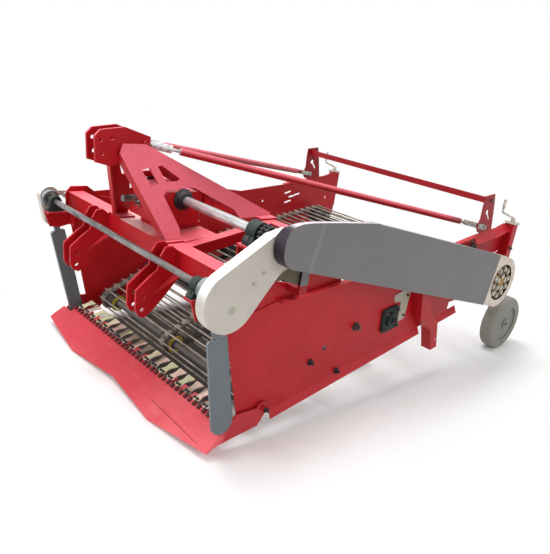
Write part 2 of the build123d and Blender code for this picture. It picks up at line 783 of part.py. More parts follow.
# ---------------------------------------------------------------- eccentric shaft and bearings
disc_r = 30.0
disc_w = 30.0
with BuildPart() as eccentric:
    with BuildSketch(side_plane(-(far_out - 12))):
        with Locations(shake_axis):
            Circle(shake_r)
    extrude(amount=far_out - 12 + cover_out - 14)
    for s in (-1, 1):
        with BuildSketch(side_plane(s * (arm_x - disc_w / 2))):
            with Locations((shake_axis[0] - throw, shake_axis[1])):
                Circle(disc_r)
        extrude(amount=s * disc_w)
keep(eccentric.part, "eccentric_shaft")

for side, s in SIDES:
    with BuildPart() as pillow:
        with BuildSketch(side_plane(s * (shelf_in + 10))):
            with Locations(shake_axis):
                Circle(34)
            with BuildLine():
                Polyline((-48, shelf_top), (60, shelf_top), (60, shelf_top + 14), (32, shelf_top + 34),
                         (-32, shelf_top + 34), (-48, shelf_top + 14), close=True)
            make_face()
            with Locations(shake_axis):
                Circle(shake_r + run_fit, mode=Mode.SUBTRACT)
        extrude(amount=s * 42)
    keep(pillow.part, f"{side}_eccentric_bearing")

# ---------------------------------------------------------------- arms from the eccentrics to the share
eye_clear = 2 * throw + 1.0
eye_r = disc_r + eye_clear
arm_back = 10.0                # the arm's body lies this much behind the line through its pins
arm_top = 215.0                # its neck starts this far below the eccentric
pin_r = 12.0
arm_slope = atan2(shake_axis[1] - arm_foot[1], shake_axis[0] - arm_foot[0])
arm_length = hypot(shake_axis[1] - arm_foot[1], shake_axis[0] - arm_foot[0])


def arm_plane(x):
    """Plane across X at the arm's foot, with its own X up along the arm."""
    return Plane(origin=(x, *arm_foot), x_dir=(0, cos(arm_slope), sin(arm_slope)), z_dir=(1, 0, 0))


for side, s in SIDES:
    with BuildPart() as arm:
        with BuildSketch(arm_plane(s * arm_x - arm_w / 2)):
            with BuildLine():
                # its own Y points forwards
                Polyline((0, -arm_back - arm_d / 2), (arm_length - arm_top, -arm_back - arm_d / 2),
                         (arm_length - arm_top + 24, -14), (arm_length - arm_top + 24, 14),
                         (arm_length - arm_top, -arm_back + arm_d / 2), (0, -arm_back + arm_d / 2), close=True)
            make_face()
            with Locations((0, -arm_back)):
                Circle(arm_d / 2)
        extrude(amount=arm_w)
        with BuildSketch(arm_plane(s * arm_x - disc_w / 2)):
            with BuildLine():
                Polyline((arm_length - arm_top, -14), (arm_length, -14), (arm_length, 14), (arm_length - arm_top, 14),
                         close=True)
            make_face()
            with Locations((arm_length, 0)):
                Circle(eye_r + 10)
            with Locations((arm_length, 0)):
                Circle(eye_r, mode=Mode.SUBTRACT)
        extrude(amount=disc_w)
        with BuildSketch(arm_plane(s * arm_x - arm_w / 2)):
            Circle(pin_r + run_fit)
        extrude(amount=arm_w, mode=Mode.SUBTRACT)
    keep(arm.part, f"{side}_arm")

# ---------------------------------------------------------------- share and tines
share_slope = radians(share_rise)
share_plane = Plane(origin=(0, 0, 0), x_dir=(1, 0, 0), z_dir=(0, -sin(share_slope), cos(share_slope)))
share_run = share_depth / cos(share_slope)     # along the slope
half = share_width / 2
notch_x = arm_x - arm_w / 2 - 8     # rear corners are cut away round the feet of the arms
notch_run = 145.0 / cos(share_slope)
tine_pitch = 2 * (notch_x - 35.5) / (tine_count - 1)
tine_x = [(index - (tine_count - 1) / 2) * tine_pitch for index in range(tine_count)]
tine_rise = radians(14)        # slope of the tines
lug_w = 30.0
# rear edge of the share's upper face, Y and Z
tine_start = (share_run * cos(share_slope) - share_t * sin(share_slope),
              share_run * sin(share_slope) + share_t * cos(share_slope))
with BuildPart() as share:
    with BuildSketch(share_plane):
        with BuildLine():
            Polyline((-half, 63), (-423, 0), (0, 45), (423, 0), (half, 63), (half, notch_run),
                     (notch_x, notch_run), (notch_x, share_run), (-notch_x, share_run),
                     (-notch_x, notch_run), (-half, notch_run), close=True)
        make_face()
    extrude(amount=share_t)
    # lugs that carry the tines
    for x in tine_x:
        with BuildSketch(side_plane(x - lug_w / 2)):
            with BuildLine():
                Polyline(tine_start, (tine_start[0] + 44 * cos(tine_rise), tine_start[1] + 44 * sin(tine_rise)),
                         (tine_start[0] + 46 * cos(tine_rise), tine_start[1] + 44 * sin(tine_rise) - 9),
                         (share_depth - 12, tine_start[1] - 20), close=True)
            make_face()
        extrude(amount=lug_w)
    # side plates back to the pivots, and the lugs under the arms
    for s in (-1, 1):
        plate_x = panel_out + clear
        with BuildSketch(side_plane(s * plate_x)):
            with BuildLine():
                Polyline((100, 34), (216, 52), (377, 70), (428, 140), (430, 184), (400, 200), (370, 190),
                         (359, 174), (232, 178), (150, 112), close=True)
            make_face()
            with Locations(share_pivot):
                Circle(12 + run_fit, mode=Mode.SUBTRACT)
        extrude(amount=s * 10)
        # inner lug and pin of the arm
        with BuildSketch(side_plane(s * (notch_x - 10))):
            with BuildLine():
                Polyline((150, 80), (arm_foot[0] + 20, arm_foot[1] - 18), (arm_foot[0] + 20, arm_foot[1] + 18),
                         (160, 116), close=True)
            make_face()
        extrude(amount=s * 10)
        with BuildSketch(side_plane(s * (notch_x - 4))):
            with Locations(arm_foot):
                Circle(pin_r)
        extrude(amount=s * (plate_x + 4 - notch_x))
keep(share.part, "share")

tine_t = 5.0
tine_outline = [(-26, 0), (-26, 30), (-15, 62), (-30, 128), (0, 116), (30, 128), (15, 62), (26, 30), (26, 0)]
tine_plane = Plane(origin=(0, tine_start[0], tine_start[1] + touch), x_dir=(1, 0, 0),
                   z_dir=(0, -sin(tine_rise), cos(tine_rise)))
with BuildPart() as tines:
    for x in tine_x:
        with BuildSketch(tine_plane):
            with BuildLine():
                Polyline(*[(x + u, v) for u, v in tine_outline], close=True)
            make_face()
        extrude(amount=tine_t)
keep(tines.part, "share_tines")


# ---------------------------------------------------------------- rod chain
chain_stack = 3 * touch + belt_t + 2 * rod_r   # belt and rods, with the gaps between them


def round_loop(rollers, grow):
    """Straight runs and tangent arcs round the rollers; grow moves the path outwards.

    Each roller is (Y, Z, radius, side): side 1 for a roller inside the loop, which the belts
    run on, and -1 for one outside it, which carries the rods. Returns for each roller the
    points where the path meets and leaves it, with the middle of the arc between them.
    """
    radii = [r + grow if side > 0 else grow - r - chain_stack for _, _, r, side in rollers]
    count = len(rollers)
    normals = []
    for i in range(count):
        j = (i + 1) % count
        dy, dz = rollers[j][0] - rollers[i][0], rollers[j][1] - rollers[i][1]
        normals.append(atan2(dz, dy) - acos((radii[i] - radii[j]) / hypot(dy, dz)))
    arcs = []
    for i in range(count):
        y, z = rollers[i][:2]
        first, last = normals[i - 1], normals[i]
        turn = (last - first + pi) % (2 * pi) - pi
        if radii[i] > 0 and turn < 0:
            turn += 2 * pi
        arcs.append([(y + radii[i] * cos(a), z + radii[i] * sin(a)) for a in (first, first + turn / 2, first + turn)])
    return arcs


def draw_loop(arcs):
    """Lines and arcs of a loop, in the BuildLine block that is open."""
    for i, (first, middle, last) in enumerate(arcs):
        ThreePointArc(first, middle, last)
        Line(last, arcs[(i + 1) % len(arcs)][0])


with BuildPart() as belts:
    for x in belt_x:
        with BuildSketch(side_plane(x - belt_w / 2)):
            with BuildLine():
                draw_loop(round_loop(chain_rollers, touch + belt_t))
            make_face()
            with BuildLine():
                draw_loop(round_loop(chain_rollers, touch))
            make_face(mode=Mode.SUBTRACT)
        extrude(amount=belt_w)
keep(belts.part, "chain_belts")

with BuildLine(side_plane(0)) as rod_line:
    draw_loop(round_loop(chain_rollers, 2 * touch + belt_t + rod_r))
rod_path = rod_line.wires()[0]
rod_count = round(rod_path.length / rod_pitch)
with BuildPart() as rods:
    for index in range(rod_count):
        spot = rod_path.position_at(index / rod_count)
        with BuildSketch(side_plane(-rod_length / 2)):
            with Locations((spot.Y, spot.Z)):
                Circle(rod_r)
    extrude(amount=rod_length)
keep(rods.part, "chain_rods")
print("rods", rod_count, "loop", round(rod_path.length))

# ---------------------------------------------------------------- rollers of the rod chain
wide_roller = 130.0            # under the outer belts
middle_roller = 100.0
roller_places = ((-(panel_x - 129.0), wide_roller), (0.0, middle_roller), (panel_x - 129.0, wide_roller))
inside = panel_x - touch
roller_sets = (                # name, then the place in chain_rollers and the two ends of each shaft
    ("front_rollers", ((0, -inside, inside),)),
    ("return_rollers", ((1, -inside, inside),)),
    ("drive_shaft", ((2, -(panel_out + 45), drive_shaft_end),)),
    ("top_rollers", ((3, -(panel_out + 45), panel_out + 45), (4, -inside, inside))),
)
for name, shafts in roller_sets:
    with BuildPart() as rollers:
        for index, right_end, left_end in shafts:
            y, z, r, _ = chain_rollers[index]
            with BuildSketch(side_plane(right_end)):
                with Locations((y, z)):
                    Circle(shaft_r)
            extrude(amount=left_end - right_end)
            for x, width in roller_places:
                with BuildSketch(side_plane(x - width / 2)):
                    with Locations((y, z)):
                        Circle(r)
                extrude(amount=width)
    keep(rollers.part, name)

# flange bearings outside the panels; the left end of the drive shaft is held in the drive case
with BuildPart() as chain_bearings:
    for s, index in ((1, 3), (-1, 2), (-1, 3)):
        y, z = chain_rollers[index][:2]
        with BuildSketch(side_plane(s * (panel_out + touch))):
            with Locations((y, z)):
                RectangleRounded(150, 150, 22, rotation=8)
        extrude(amount=s * 14)
        with BuildSketch(side_plane(s * (panel_out + touch + 14))):
            with Locations((y, z)):
                Circle(44)
        extrude(amount=s * 18)
        with BuildSketch(side_plane(s * (panel_out + touch))):
            with Locations((y, z)):
                Circle(shaft_r + touch)
        extrude(amount=s * 32, mode=Mode.SUBTRACT)
keep(chain_bearings.part, "chain_bearings")

# slip clutch on the end of the drive shaft, in the open end of the case
clutch_r = case_open_r - 8.0
with BuildPart() as clutch:
    with BuildSketch(side_plane(case_in + 12)):
        with Locations(chain_rear):
            Circle(clutch_r)
    extrude(amount=16)
    with BuildSketch(side_plane(case_in + 28)):
        with Locations(chain_rear):
            Circle(34)
            with PolarLocations(clutch_r - 36, 8):
                Circle(9)
    extrude(amount=case_out - case_in - 34)
    with BuildSketch(side_plane(drive_shaft_end + touch)):
        with Locations(chain_rear):
            Circle(shaft_r)
    extrude(amount=case_in + 12 - drive_shaft_end - touch)
keep(clutch.part, "slip_clutch")

# ---------------------------------------------------------------- tie tube and guard plate
tie = (1745.0, 540.0)          # Y and Z of the tube that ties the panels together, inside the chain
with BuildPart() as tie_tube:
    with BuildSketch(side_plane(-panel_x)):
        with Locations(tie):
            Circle(24)
            Circle(19, mode=Mode.SUBTRACT)
    extrude(amount=2 * panel_x)
keep(tie_tube.part, "tie_tube")

with BuildPart() as guard:
    with BuildSketch(side_plane(panel_out + touch)):
        with BuildLine():
            Polyline((1446, 432), (1515, 447), (1526, 640), (1440, 636), (1366, 616), (1376, 574),
                     (1446, 566), close=True)
        make_face()
    extrude(amount=4)
keep(guard.part, "guard_plate")
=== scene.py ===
# %% [markdown]
# # A mounted potato digger: the looks
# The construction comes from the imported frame: every welded plate, shaft and roller is there at
# its real size. This lesson gives each of them a finish, adds the small things that a frame
# leaves out, such as bolts, springs, straps and weld beads, gives the arms, legs and tines their
# true outline, and sets up the studio.

# %% Load the frame
import json
from math import cos, pi, radians, sin

import bpy
import numpy as np
from mathutils import Matrix, Vector


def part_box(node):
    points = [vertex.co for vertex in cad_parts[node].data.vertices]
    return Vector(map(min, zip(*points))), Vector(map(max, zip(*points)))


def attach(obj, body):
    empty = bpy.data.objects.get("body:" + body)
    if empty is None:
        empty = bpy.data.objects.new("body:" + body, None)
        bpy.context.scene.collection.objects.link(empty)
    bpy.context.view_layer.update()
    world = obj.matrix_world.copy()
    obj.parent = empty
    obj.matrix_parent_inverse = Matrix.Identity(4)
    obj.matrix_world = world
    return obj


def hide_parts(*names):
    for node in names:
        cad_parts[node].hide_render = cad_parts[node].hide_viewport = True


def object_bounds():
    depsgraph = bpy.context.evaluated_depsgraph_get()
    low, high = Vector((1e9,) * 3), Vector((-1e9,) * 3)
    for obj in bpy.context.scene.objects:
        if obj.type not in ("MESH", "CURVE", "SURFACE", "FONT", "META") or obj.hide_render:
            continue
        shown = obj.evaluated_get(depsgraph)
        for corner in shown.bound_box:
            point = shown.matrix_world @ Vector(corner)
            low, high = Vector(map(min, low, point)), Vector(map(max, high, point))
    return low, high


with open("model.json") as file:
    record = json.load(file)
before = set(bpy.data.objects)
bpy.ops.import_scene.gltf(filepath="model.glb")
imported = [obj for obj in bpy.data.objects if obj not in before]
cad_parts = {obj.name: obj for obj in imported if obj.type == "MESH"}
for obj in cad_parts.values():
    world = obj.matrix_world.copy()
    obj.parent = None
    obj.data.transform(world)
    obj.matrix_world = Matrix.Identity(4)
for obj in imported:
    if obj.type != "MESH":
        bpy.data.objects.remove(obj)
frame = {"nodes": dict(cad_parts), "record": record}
nodes = frame["nodes"]
cad_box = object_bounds()

# %% [markdown]
# The camera stands to the front left of the machine, a little above its head, and is rolled by
# a few degrees. Its three axes are written as columns: right, up and backwards.

# %% Camera
eye = Vector((2.59995, -2.91666, 1.75531))
right = Vector((0.66949, 0.72910, 0.14212))
down = Vector((0.33092, -0.12145, -0.93581))
forward = Vector((-0.66504, 0.67355, -0.32258))
focal_share = 605 / 554          # focal length as a share of the picture's longer side
sensor = 36.0

camera = bpy.data.objects.new("camera", bpy.data.cameras.new("camera"))
bpy.context.scene.collection.objects.link(camera)
turn = Matrix((right, -down, -forward)).transposed().to_4x4()
camera.matrix_world = Matrix.Translation(eye) @ turn
camera.data.sensor_width = sensor
camera.data.lens = sensor * focal_share
camera.data.clip_end = 100
bpy.context.scene.camera = camera
print("lens", round(camera.data.lens, 1), "mm")

# %% [markdown]
# Shader maths reads best as plain Python. `Value` wraps one output socket, and its operators add
# Math nodes. The reflected forms let `1 - mask` work as well.

# %% Shader expressions
class Value:
    """An output socket that can be used in an expression."""

    def __init__(self, net, socket):
        self.net = net
        self.socket = socket

    def math(self, operation, other=0.0, flip=False):
        """A Math node on this value and another, in this order unless flipped."""
        pair = (other, self) if flip else (self, other)
        return self.net.node("ShaderNodeMath", {"operation": operation}, {0: pair[0], 1: pair[1]})

    def __add__(self, other):
        return self.math("ADD", other)

    def __sub__(self, other):
        return self.math("SUBTRACT", other)

    def __mul__(self, other):
        return self.math("MULTIPLY", other)

    def __pow__(self, other):
        return self.math("POWER", other)

    def __rsub__(self, other):
        return self.math("SUBTRACT", other, flip=True)

    __radd__ = __add__
    __rmul__ = __mul__

    def above(self, limit, soft=0.002):
        """1 where this value is over a limit, 0 under it, with a short soft step between them."""
        return self.ramp(limit - soft, limit + soft)

    def ramp(self, low, high):
        """0 where this value is at low, 1 where it is at high, and smooth between them."""
        settings = {"interpolation_type": "SMOOTHSTEP"}
        return self.net.node("ShaderNodeMapRange", settings, {0: self, 1: low, 2: high, 3: 0.0, 4: 1.0})


# %% [markdown]
# `Net` is one material's tree, and its `node` method makes every node that isn't plain maths.
# Its other methods are the few measures that the finishes below are made of: a place, a noise, a
# mixture, the way a face looks, the distance along a line and the nearness of an edge.

# %% Node trees
class Net:
    """The node tree of one material, or of the world."""

    def __init__(self, name, owners=bpy.data.materials):
        self.owner = owners.new(name)
        self.owner.use_nodes = True
        self.tree = self.owner.node_tree
        self.tree.nodes.clear()

    def node(self, kind, settings=None, inputs=None, output=0):
        """A node of that kind: its settings are set first, then its sockets are filled or linked."""
        made = self.tree.nodes.new(kind)
        for key, value in (settings or {}).items():
            setattr(made, key, value)
        for key, value in (inputs or {}).items():
            if isinstance(value, Value):
                self.tree.links.new(value.socket, made.inputs[key])
            else:
                made.inputs[key].default_value = value
        return Value(self, made.outputs[output]) if made.outputs else made

    def place(self, axis=None):
        """Object coordinates in metres, or one of their three parts."""
        coords = self.node("ShaderNodeTexCoord", output="Object")
        if axis is None:
            return coords
        return self.node("ShaderNodeSeparateXYZ", inputs={0: coords}, output="XYZ".index(axis))

    def noise(self, size, detail=3.0, stretch=(1, 1, 1), roughness=0.55):
        """Noise from 0 to 1 whose blobs are about size metres across, drawn out along an axis."""
        scale = [1 / (size * s) for s in stretch]
        coords = self.node("ShaderNodeMapping", inputs={0: self.place(), "Scale": scale})
        inputs = {"Vector": coords, "Scale": 1.0, "Detail": detail, "Roughness": roughness}
        return self.node("ShaderNodeTexNoise", inputs=inputs)

    def mix(self, mask, first, second):
        """The first colour where the mask is 0, the second where it is 1."""
        return self.node("ShaderNodeMix", {"data_type": "RGBA"}, {0: mask, 6: first, 7: second}, output=2)

    def facing(self, axis="Z"):
        """1 on faces that look along that axis, 0 on faces beside it, -1 on those that look back."""
        normal = self.node("ShaderNodeNewGeometry", output="Normal")
        return self.node("ShaderNodeSeparateXYZ", inputs={0: normal}, output="XYZ".index(axis))

    def along(self, start, end):
        """Metres from start, measured along the straight line to end."""
        step = (Vector(end) - Vector(start)).normalized()
        dot = self.node("ShaderNodeVectorMath", {"operation": "DOT_PRODUCT"}, {0: self.place(), 1: step}, output=1)
        return dot - step.dot(Vector(start))

    def edges(self, radius):
        """Near 1 within that radius of a sharp edge, 0 on flat faces."""
        soft = self.node("ShaderNodeBevel", {"samples": 4}, {"Radius": radius})
        hard = self.node("ShaderNodeNewGeometry", output="Normal")
        dot = self.node("ShaderNodeVectorMath", {"operation": "DOT_PRODUCT"}, {0: soft, 1: hard}, output=1)
        return (1 - dot).ramp(0.01, 0.25)

    def finish(self, colour, roughness, bump=None, strength=0.2, depth=0.0005, **fixed):
        """The shader itself: what varies feeds its sockets, and fixed values are set on them."""
        inputs = {"Base Color": colour, "Roughness": roughness}
        if bump is not None:
            inputs["Normal"] = self.node(
                "ShaderNodeBump", inputs={"Strength": strength, "Distance": depth, "Height": bump})
        inputs.update({key.replace("_", " "): value for key, value in fixed.items()})
        shader = self.node("ShaderNodeBsdfPrincipled", inputs=inputs)
        self.node("ShaderNodeOutputMaterial", inputs={"Surface": shader})
        return self.owner


# %% [markdown]
# Shaders work with linear light, and people name colours as a screen shows them.

# %% Colours
def colour(red, green, blue):
    """A colour given by its display values from 0 to 255, as the linear colour that shaders use."""
    shown = np.array((red, green, blue)) / 255
    linear = np.where(shown <= 0.04045, shown / 12.92, ((shown + 0.055) / 1.055) ** 2.4)
    return (*[float(part) for part in linear], 1.0)


# %% [markdown]
# ## Paint
# The plates are sprayed in one coat of red enamel. Enamel is smooth but never quite even: it has
# a fine orange-peel texture and soft blotches, it takes a painted reflection of the sky where it
# faces up, and it gathers dirt in broad faint clouds. All of that is noise on the object's own
# coordinates, mixed in a few steps, so one function serves every painted piece.

# %% Painted finishes
def enamel(net, base, faded, sheen, dust_and_sheen=0.5):
    """Colour of a coat of enamel: clouds of a faded tone, and a painted reflection of the sky on what looks up."""
    blotch = net.noise(0.24, detail=4).ramp(0.35, 0.75)
    fine = net.noise(0.02, detail=5)
    body = net.mix(blotch * 0.55, base, faded)
    # Painted reflection of the sky: faces that look up are mixed towards the sheen colour.
    sky_sheen = net.facing().ramp(0.04, 0.6) * (0.75 + 0.5 * fine) * dust_and_sheen
    body = net.mix(sky_sheen, body, sheen)
    grime = net.noise(0.09, detail=6, roughness=0.7).ramp(0.56, 0.8) * 0.22
    return net.mix(grime, body, tuple(0.45 * part for part in base[:3]) + (1.0,))


def peel(net):
    """Height of the orange-peel texture that sprayed paint dries with."""
    return net.noise(0.004, detail=2) + 0.5 * net.noise(0.03, detail=2)


def paint(name, base, faded, sheen, dust_and_sheen=0.5, gloss=0.34, coat=0.0, worn=0.25, shine=0.25):
    """A painted finish of one colour, with its edges a little lighter: partly wear, partly a painted highlight."""
    net = Net(name)
    body = enamel(net, base, faded, sheen, dust_and_sheen)
    # The edges are mixed towards the sheen colour: partly worn paint, partly a painted highlight.
    body = net.mix(net.edges(0.003) * worn, body, sheen)
    rough = gloss + 0.16 * net.noise(0.05, detail=4)
    return net.finish(body, rough, peel(net), strength=0.1, Coat_Weight=coat, Specular_IOR_Level=shine)


# %% [markdown]
# Three tones make each paint: the fresh coat, the faded coat and a painted reflection of the sky
# on a face that looks up. The headstock and the gearbox take a strong painted reflection, the upright plates much
# less.

# %% The paints
deep_red, soft_red, sky_red = colour(164, 8, 18), colour(182, 20, 30), colour(238, 118, 136)
red_paint = paint("red_paint", deep_red, soft_red, sky_red, dust_and_sheen=0.78)
panel_paint = paint("panel_paint", colour(168, 14, 22), colour(186, 30, 38), colour(214, 74, 84), dust_and_sheen=0.3)
# The cross bar, the uprights and the tie tube take a darker copy of the red, which is painted shade.
bar_paint_shaded = paint("bar_paint_shaded", colour(140, 12, 22), colour(158, 22, 32), colour(196, 70, 80), dust_and_sheen=0.3)
grey_paint = paint("grey_paint", colour(86, 96, 102), colour(104, 113, 118), colour(150, 156, 160),
                   gloss=0.45, coat=0.05)
cover_paint = paint("cover_paint", colour(184, 176, 166), colour(196, 190, 182), colour(244, 243, 240),
                    dust_and_sheen=0.9, gloss=0.4, coat=0.1, worn=0.5)
guard_paint = paint("guard_paint", colour(162, 158, 142), colour(178, 174, 158), colour(214, 212, 202))
bearing_green = paint("bearing_green", colour(28, 40, 36), colour(44, 54, 48), colour(76, 88, 80), dust_and_sheen=0.25,
                      gloss=0.5)
wheel_grey = paint("wheel_grey", colour(132, 131, 123), colour(150, 149, 141), colour(170, 170, 164),
                   dust_and_sheen=0.2, gloss=0.6, worn=0.1)
black_paint = paint("black_paint", colour(22, 20, 24), colour(40, 36, 42), colour(88, 84, 90), gloss=0.4)

# %% [markdown]
# Two pieces carry the red paint in their own way. The share is a lighter red, and a painted
# highlight makes it palest over its left half; a thin line of painted shade marks the bend behind
# its cutting edge. Its rear corner beside the side panel keeps the full red. The front beam reflects
# the sky between the feet of the headstock.

# %% Share paint
net = Net("share_paint")
body = enamel(net, colour(186, 22, 38), colour(206, 44, 58), colour(222, 84, 94), dust_and_sheen=0.5)
cloud = net.noise(0.16, detail=4).ramp(0.3, 0.7)
# Painted highlight: the share is palest over its left half.
share_highlight = net.place("X").ramp(0.12, 0.42) * (0.45 + 0.4 * cloud)
body = net.mix(share_highlight, body, colour(236, 104, 112))
# A thin line of painted shade along the bend behind the cutting edge.
crease = net.along((0.3, -1.347, 0), (0.2966, -1.447, 0)).math("ABSOLUTE")
crease_starts, crease_ends = net.place("X").above(0.29, 0.03), net.place("X").above(0.71, 0.03)
line = (1 - crease.ramp(0.001, 0.004)) * crease_starts * (1 - crease_ends)
body = net.mix(line * 0.75, body, colour(150, 24, 36))
rear_corner = net.place("Y").ramp(-1.275, -1.225) * net.place("X").above(0.6)
body = net.mix(rear_corner * 0.95, body, colour(176, 38, 48))
smear = net.noise(0.05, detail=5, stretch=(3, 1, 1)).ramp(0.5, 0.8) * 0.25 * (1 - rear_corner)
body = net.mix(smear, body, colour(232, 140, 140))
share_paint = net.finish(body, 0.4 + 0.14 * cloud, peel(net), strength=0.12, Specular_IOR_Level=0.3)

# %% Frame paint
net = Net("frame_paint")
body = enamel(net, deep_red, soft_red, colour(246, 112, 124), dust_and_sheen=0.85)
middle_part = net.place("X").ramp(-0.42, -0.24) * (1 - net.place("X").ramp(0.02, 0.12))
glare = net.facing().ramp(0.6, 0.9) * middle_part * net.place("Z").above(0.86, 0.01)
body = net.mix(glare * 0.8, body, colour(252, 214, 208))
# The edges are mixed towards the sky tone: partly worn paint, partly a painted highlight.
body = net.mix(net.edges(0.003) * 0.3, body, sky_red)
frame_paint = net.finish(body, 0.34 + 0.16 * net.noise(0.05), peel(net), strength=0.1, Specular_IOR_Level=0.25)

# %% [markdown]
# The side drive case is one welded box with three tones: a grey cover plate on its face, a dark
# nose at its front that is painted shade, and a rounded rear end in pale beige that stays open round
# the clutch. The plate ends along a slanted seam. Near the front, its faces that look up carry a
# painted reflection of the sky, and its underside a painted shade. Position and the face's own
# direction say which tone goes where, so the case needs no second material.

# %% Faces of the case
case_low, case_high = (Vector(corner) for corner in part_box("side_drive_case"))
drive_low, drive_high = (Vector(corner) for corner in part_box("drive_shaft"))
drive_y, drive_z = (drive_low.y + drive_high.y) / 2, (drive_low.z + drive_high.z) / 2
print("case", [round(part, 3) for part in case_high - case_low])

net = Net("case_paint")
face = enamel(net, colour(106, 104, 105), colour(118, 114, 112), colour(120, 116, 116), dust_and_sheen=0.5)
side = net.facing("X").math("ABSOLUTE").ramp(0.5, 0.8)
front = 1 - net.place("Y").ramp(drive_y - 1.75, drive_y - 1.25)
# Painted reflection of the sky on faces near the front that look up.
face = net.mix(net.facing().ramp(0.3, 0.9) * front, face, colour(206, 196, 202))
# Painted shade on the nose, on faces that look forward.
nose_shade = net.facing("Y").ramp(-0.25, -0.6) * (1 - side)
body = net.mix(nose_shade, face, colour(40, 30, 42))
# Painted shade on faces that look down.
under = net.facing().ramp(-0.3, -0.7)
body = net.mix(under * 0.5, body, colour(60, 56, 56))

# %% [markdown]
# Three lines are measured from the driven shaft: a faint crease near the front, shown by a painted
# highlight, the seam where the beige end begins, and the shaft's own line, which gives the round
# hole of the clutch. The strut that carries the case is grey at its top and red below.

# %% Crease, seam, hole and strut
crease_start = Vector((0, drive_y - 1.865, drive_z + 0.515))
crease = net.along(crease_start, crease_start + Vector((0, 0.979, -0.205)))
# Painted highlight along the crease, on the case's side faces.
crease_highlight = (1 - crease.math("ABSOLUTE").ramp(0.004, 0.02)) * side * 0.22
body = net.mix(crease_highlight, body, colour(150, 146, 144))
seam_start = Vector((0, drive_y - 0.122, drive_z + 0.179))
seam = net.along(seam_start, seam_start + Vector((0, 0.983, -0.184)))
beige = net.mix(net.noise(0.03, detail=5).ramp(0.4, 0.75), colour(214, 200, 188), colour(184, 170, 156))
body = net.mix(seam.above(0.001, 0.0015), body, beige)
hole_r = 0.125
off_y = net.along((0, drive_y, 0), (0, drive_y + 1, 0))
off_z = net.along((0, 0, drive_z), (0, 0, drive_z + 1))
hole = 1 - (off_y ** 2 + off_z ** 2).math("SQRT").above(hole_r)
rust = net.mix(net.noise(0.012).ramp(0.45, 0.6), colour(34, 28, 26), colour(126, 100, 74))
body = net.mix(hole, body, rust)
strut_grey_ends = 0.828
strut = (1 - net.place("X").above(case_low.x + 0.11)) * (1 - net.place("Z").above(strut_grey_ends))
strut = strut * (1 - net.place("Y").above(drive_y - 1.2))
body = net.mix(strut, body, colour(150, 14, 24))
case_paint = net.finish(body, 0.42 + 0.1 * net.noise(0.03), peel(net), strength=0.08, Specular_IOR_Level=0.3)

# %% [markdown]
# ## Bare metal
# Shafts are ground steel, rods are worn by soil and turn grey-brown between their bright lines,
# and the small parts are zinc plated, some with the yellow and pink tint that such plating has.

# %% Bare metal
def metal(name, light, dark, rough=0.3, grain=0.03, stretch=(1, 1, 1), shine=0.85):
    """Bare steel: bright where it is worn, darker in cloudy patches of oxide."""
    net = Net(name)
    cloud = net.noise(grain, detail=5, stretch=stretch).ramp(0.3, 0.72)
    tone = net.mix(cloud, light, dark)
    scratch = net.noise(grain * 0.12, detail=2, stretch=stretch)
    return net.finish(tone, rough + 0.25 * cloud, scratch, strength=0.1, Metallic=shine)


bright_steel = metal("bright_steel", colour(214, 214, 216), colour(150, 148, 148), rough=0.26, stretch=(4, 1, 1))
grey_steel = metal("grey_steel", colour(150, 148, 146), colour(92, 88, 86), rough=0.3, stretch=(4, 1, 1))
rod_steel = metal("rod_steel", colour(186, 178, 166), colour(104, 94, 84), rough=0.34, stretch=(3, 1, 1), shine=0.5)
zinc = metal("zinc", colour(214, 208, 196), colour(150, 142, 130), rough=0.32, shine=0.7)
silver = metal("silver", colour(226, 226, 228), colour(170, 168, 166), rough=0.3, grain=0.015, shine=0.7)
dark_steel = metal("dark_steel", colour(104, 98, 92), colour(48, 44, 40), rough=0.4, grain=0.012, shine=0.6)
brass = metal("brass", colour(196, 158, 96), colour(110, 78, 46), rough=0.35, grain=0.012, shine=0.7)

# %% [markdown]
# Each tine is cut from zinc plated strip, and no two have quite the same tint: some are pink,
# some yellow-green, some bare grey. A noise that is stretched along the machine changes from
# one tine to the next but hardly within one.

# %% Zinc of the tines
net = Net("tine_zinc")
across = net.noise(0.09, detail=1, stretch=(1, 8, 8))
warm = net.mix(across.ramp(0.44, 0.56), colour(146, 134, 116), colour(250, 224, 208))
tint = net.mix(net.noise(0.13, detail=1, stretch=(1, 9, 9)).ramp(0.52, 0.6), warm, colour(226, 230, 186))
stain = net.noise(0.018, detail=5).ramp(0.5, 0.8) * 0.3
tone = net.mix(stain, tint, colour(120, 98, 76))
tine_zinc = net.finish(tone, 0.42, net.noise(0.01), strength=0.15, Metallic=0.35)


# %% [markdown]
# ## Rubber, plastic and the stays
# The belts are rubber with cloth in it. The rollers are moulded: those at the front turn have a
# yellow rim round a blue hub. A stay is a red tube whose two ends are plated, with a sleeve at
# the headstock and a fork at the upright, so its material reads how far along the stay it is.

# %% Belts and rollers
def rubber(name, base, worn):
    """Rubber belting, matt, with a cloth weave pressed into it."""
    net = Net(name)
    dust_and_sheen = net.noise(0.08, detail=4).ramp(0.4, 0.8)
    weave = net.noise(0.003, detail=1, stretch=(1, 3, 3))
    return net.finish(net.mix(dust_and_sheen * 0.6, base, worn), 0.75 - 0.15 * dust_and_sheen, weave, strength=0.3)


belt_rubber = rubber("belt_rubber", colour(62, 59, 56), colour(108, 102, 94))
roller_plastic = rubber("roller_plastic", colour(38, 38, 44), colour(66, 66, 70))

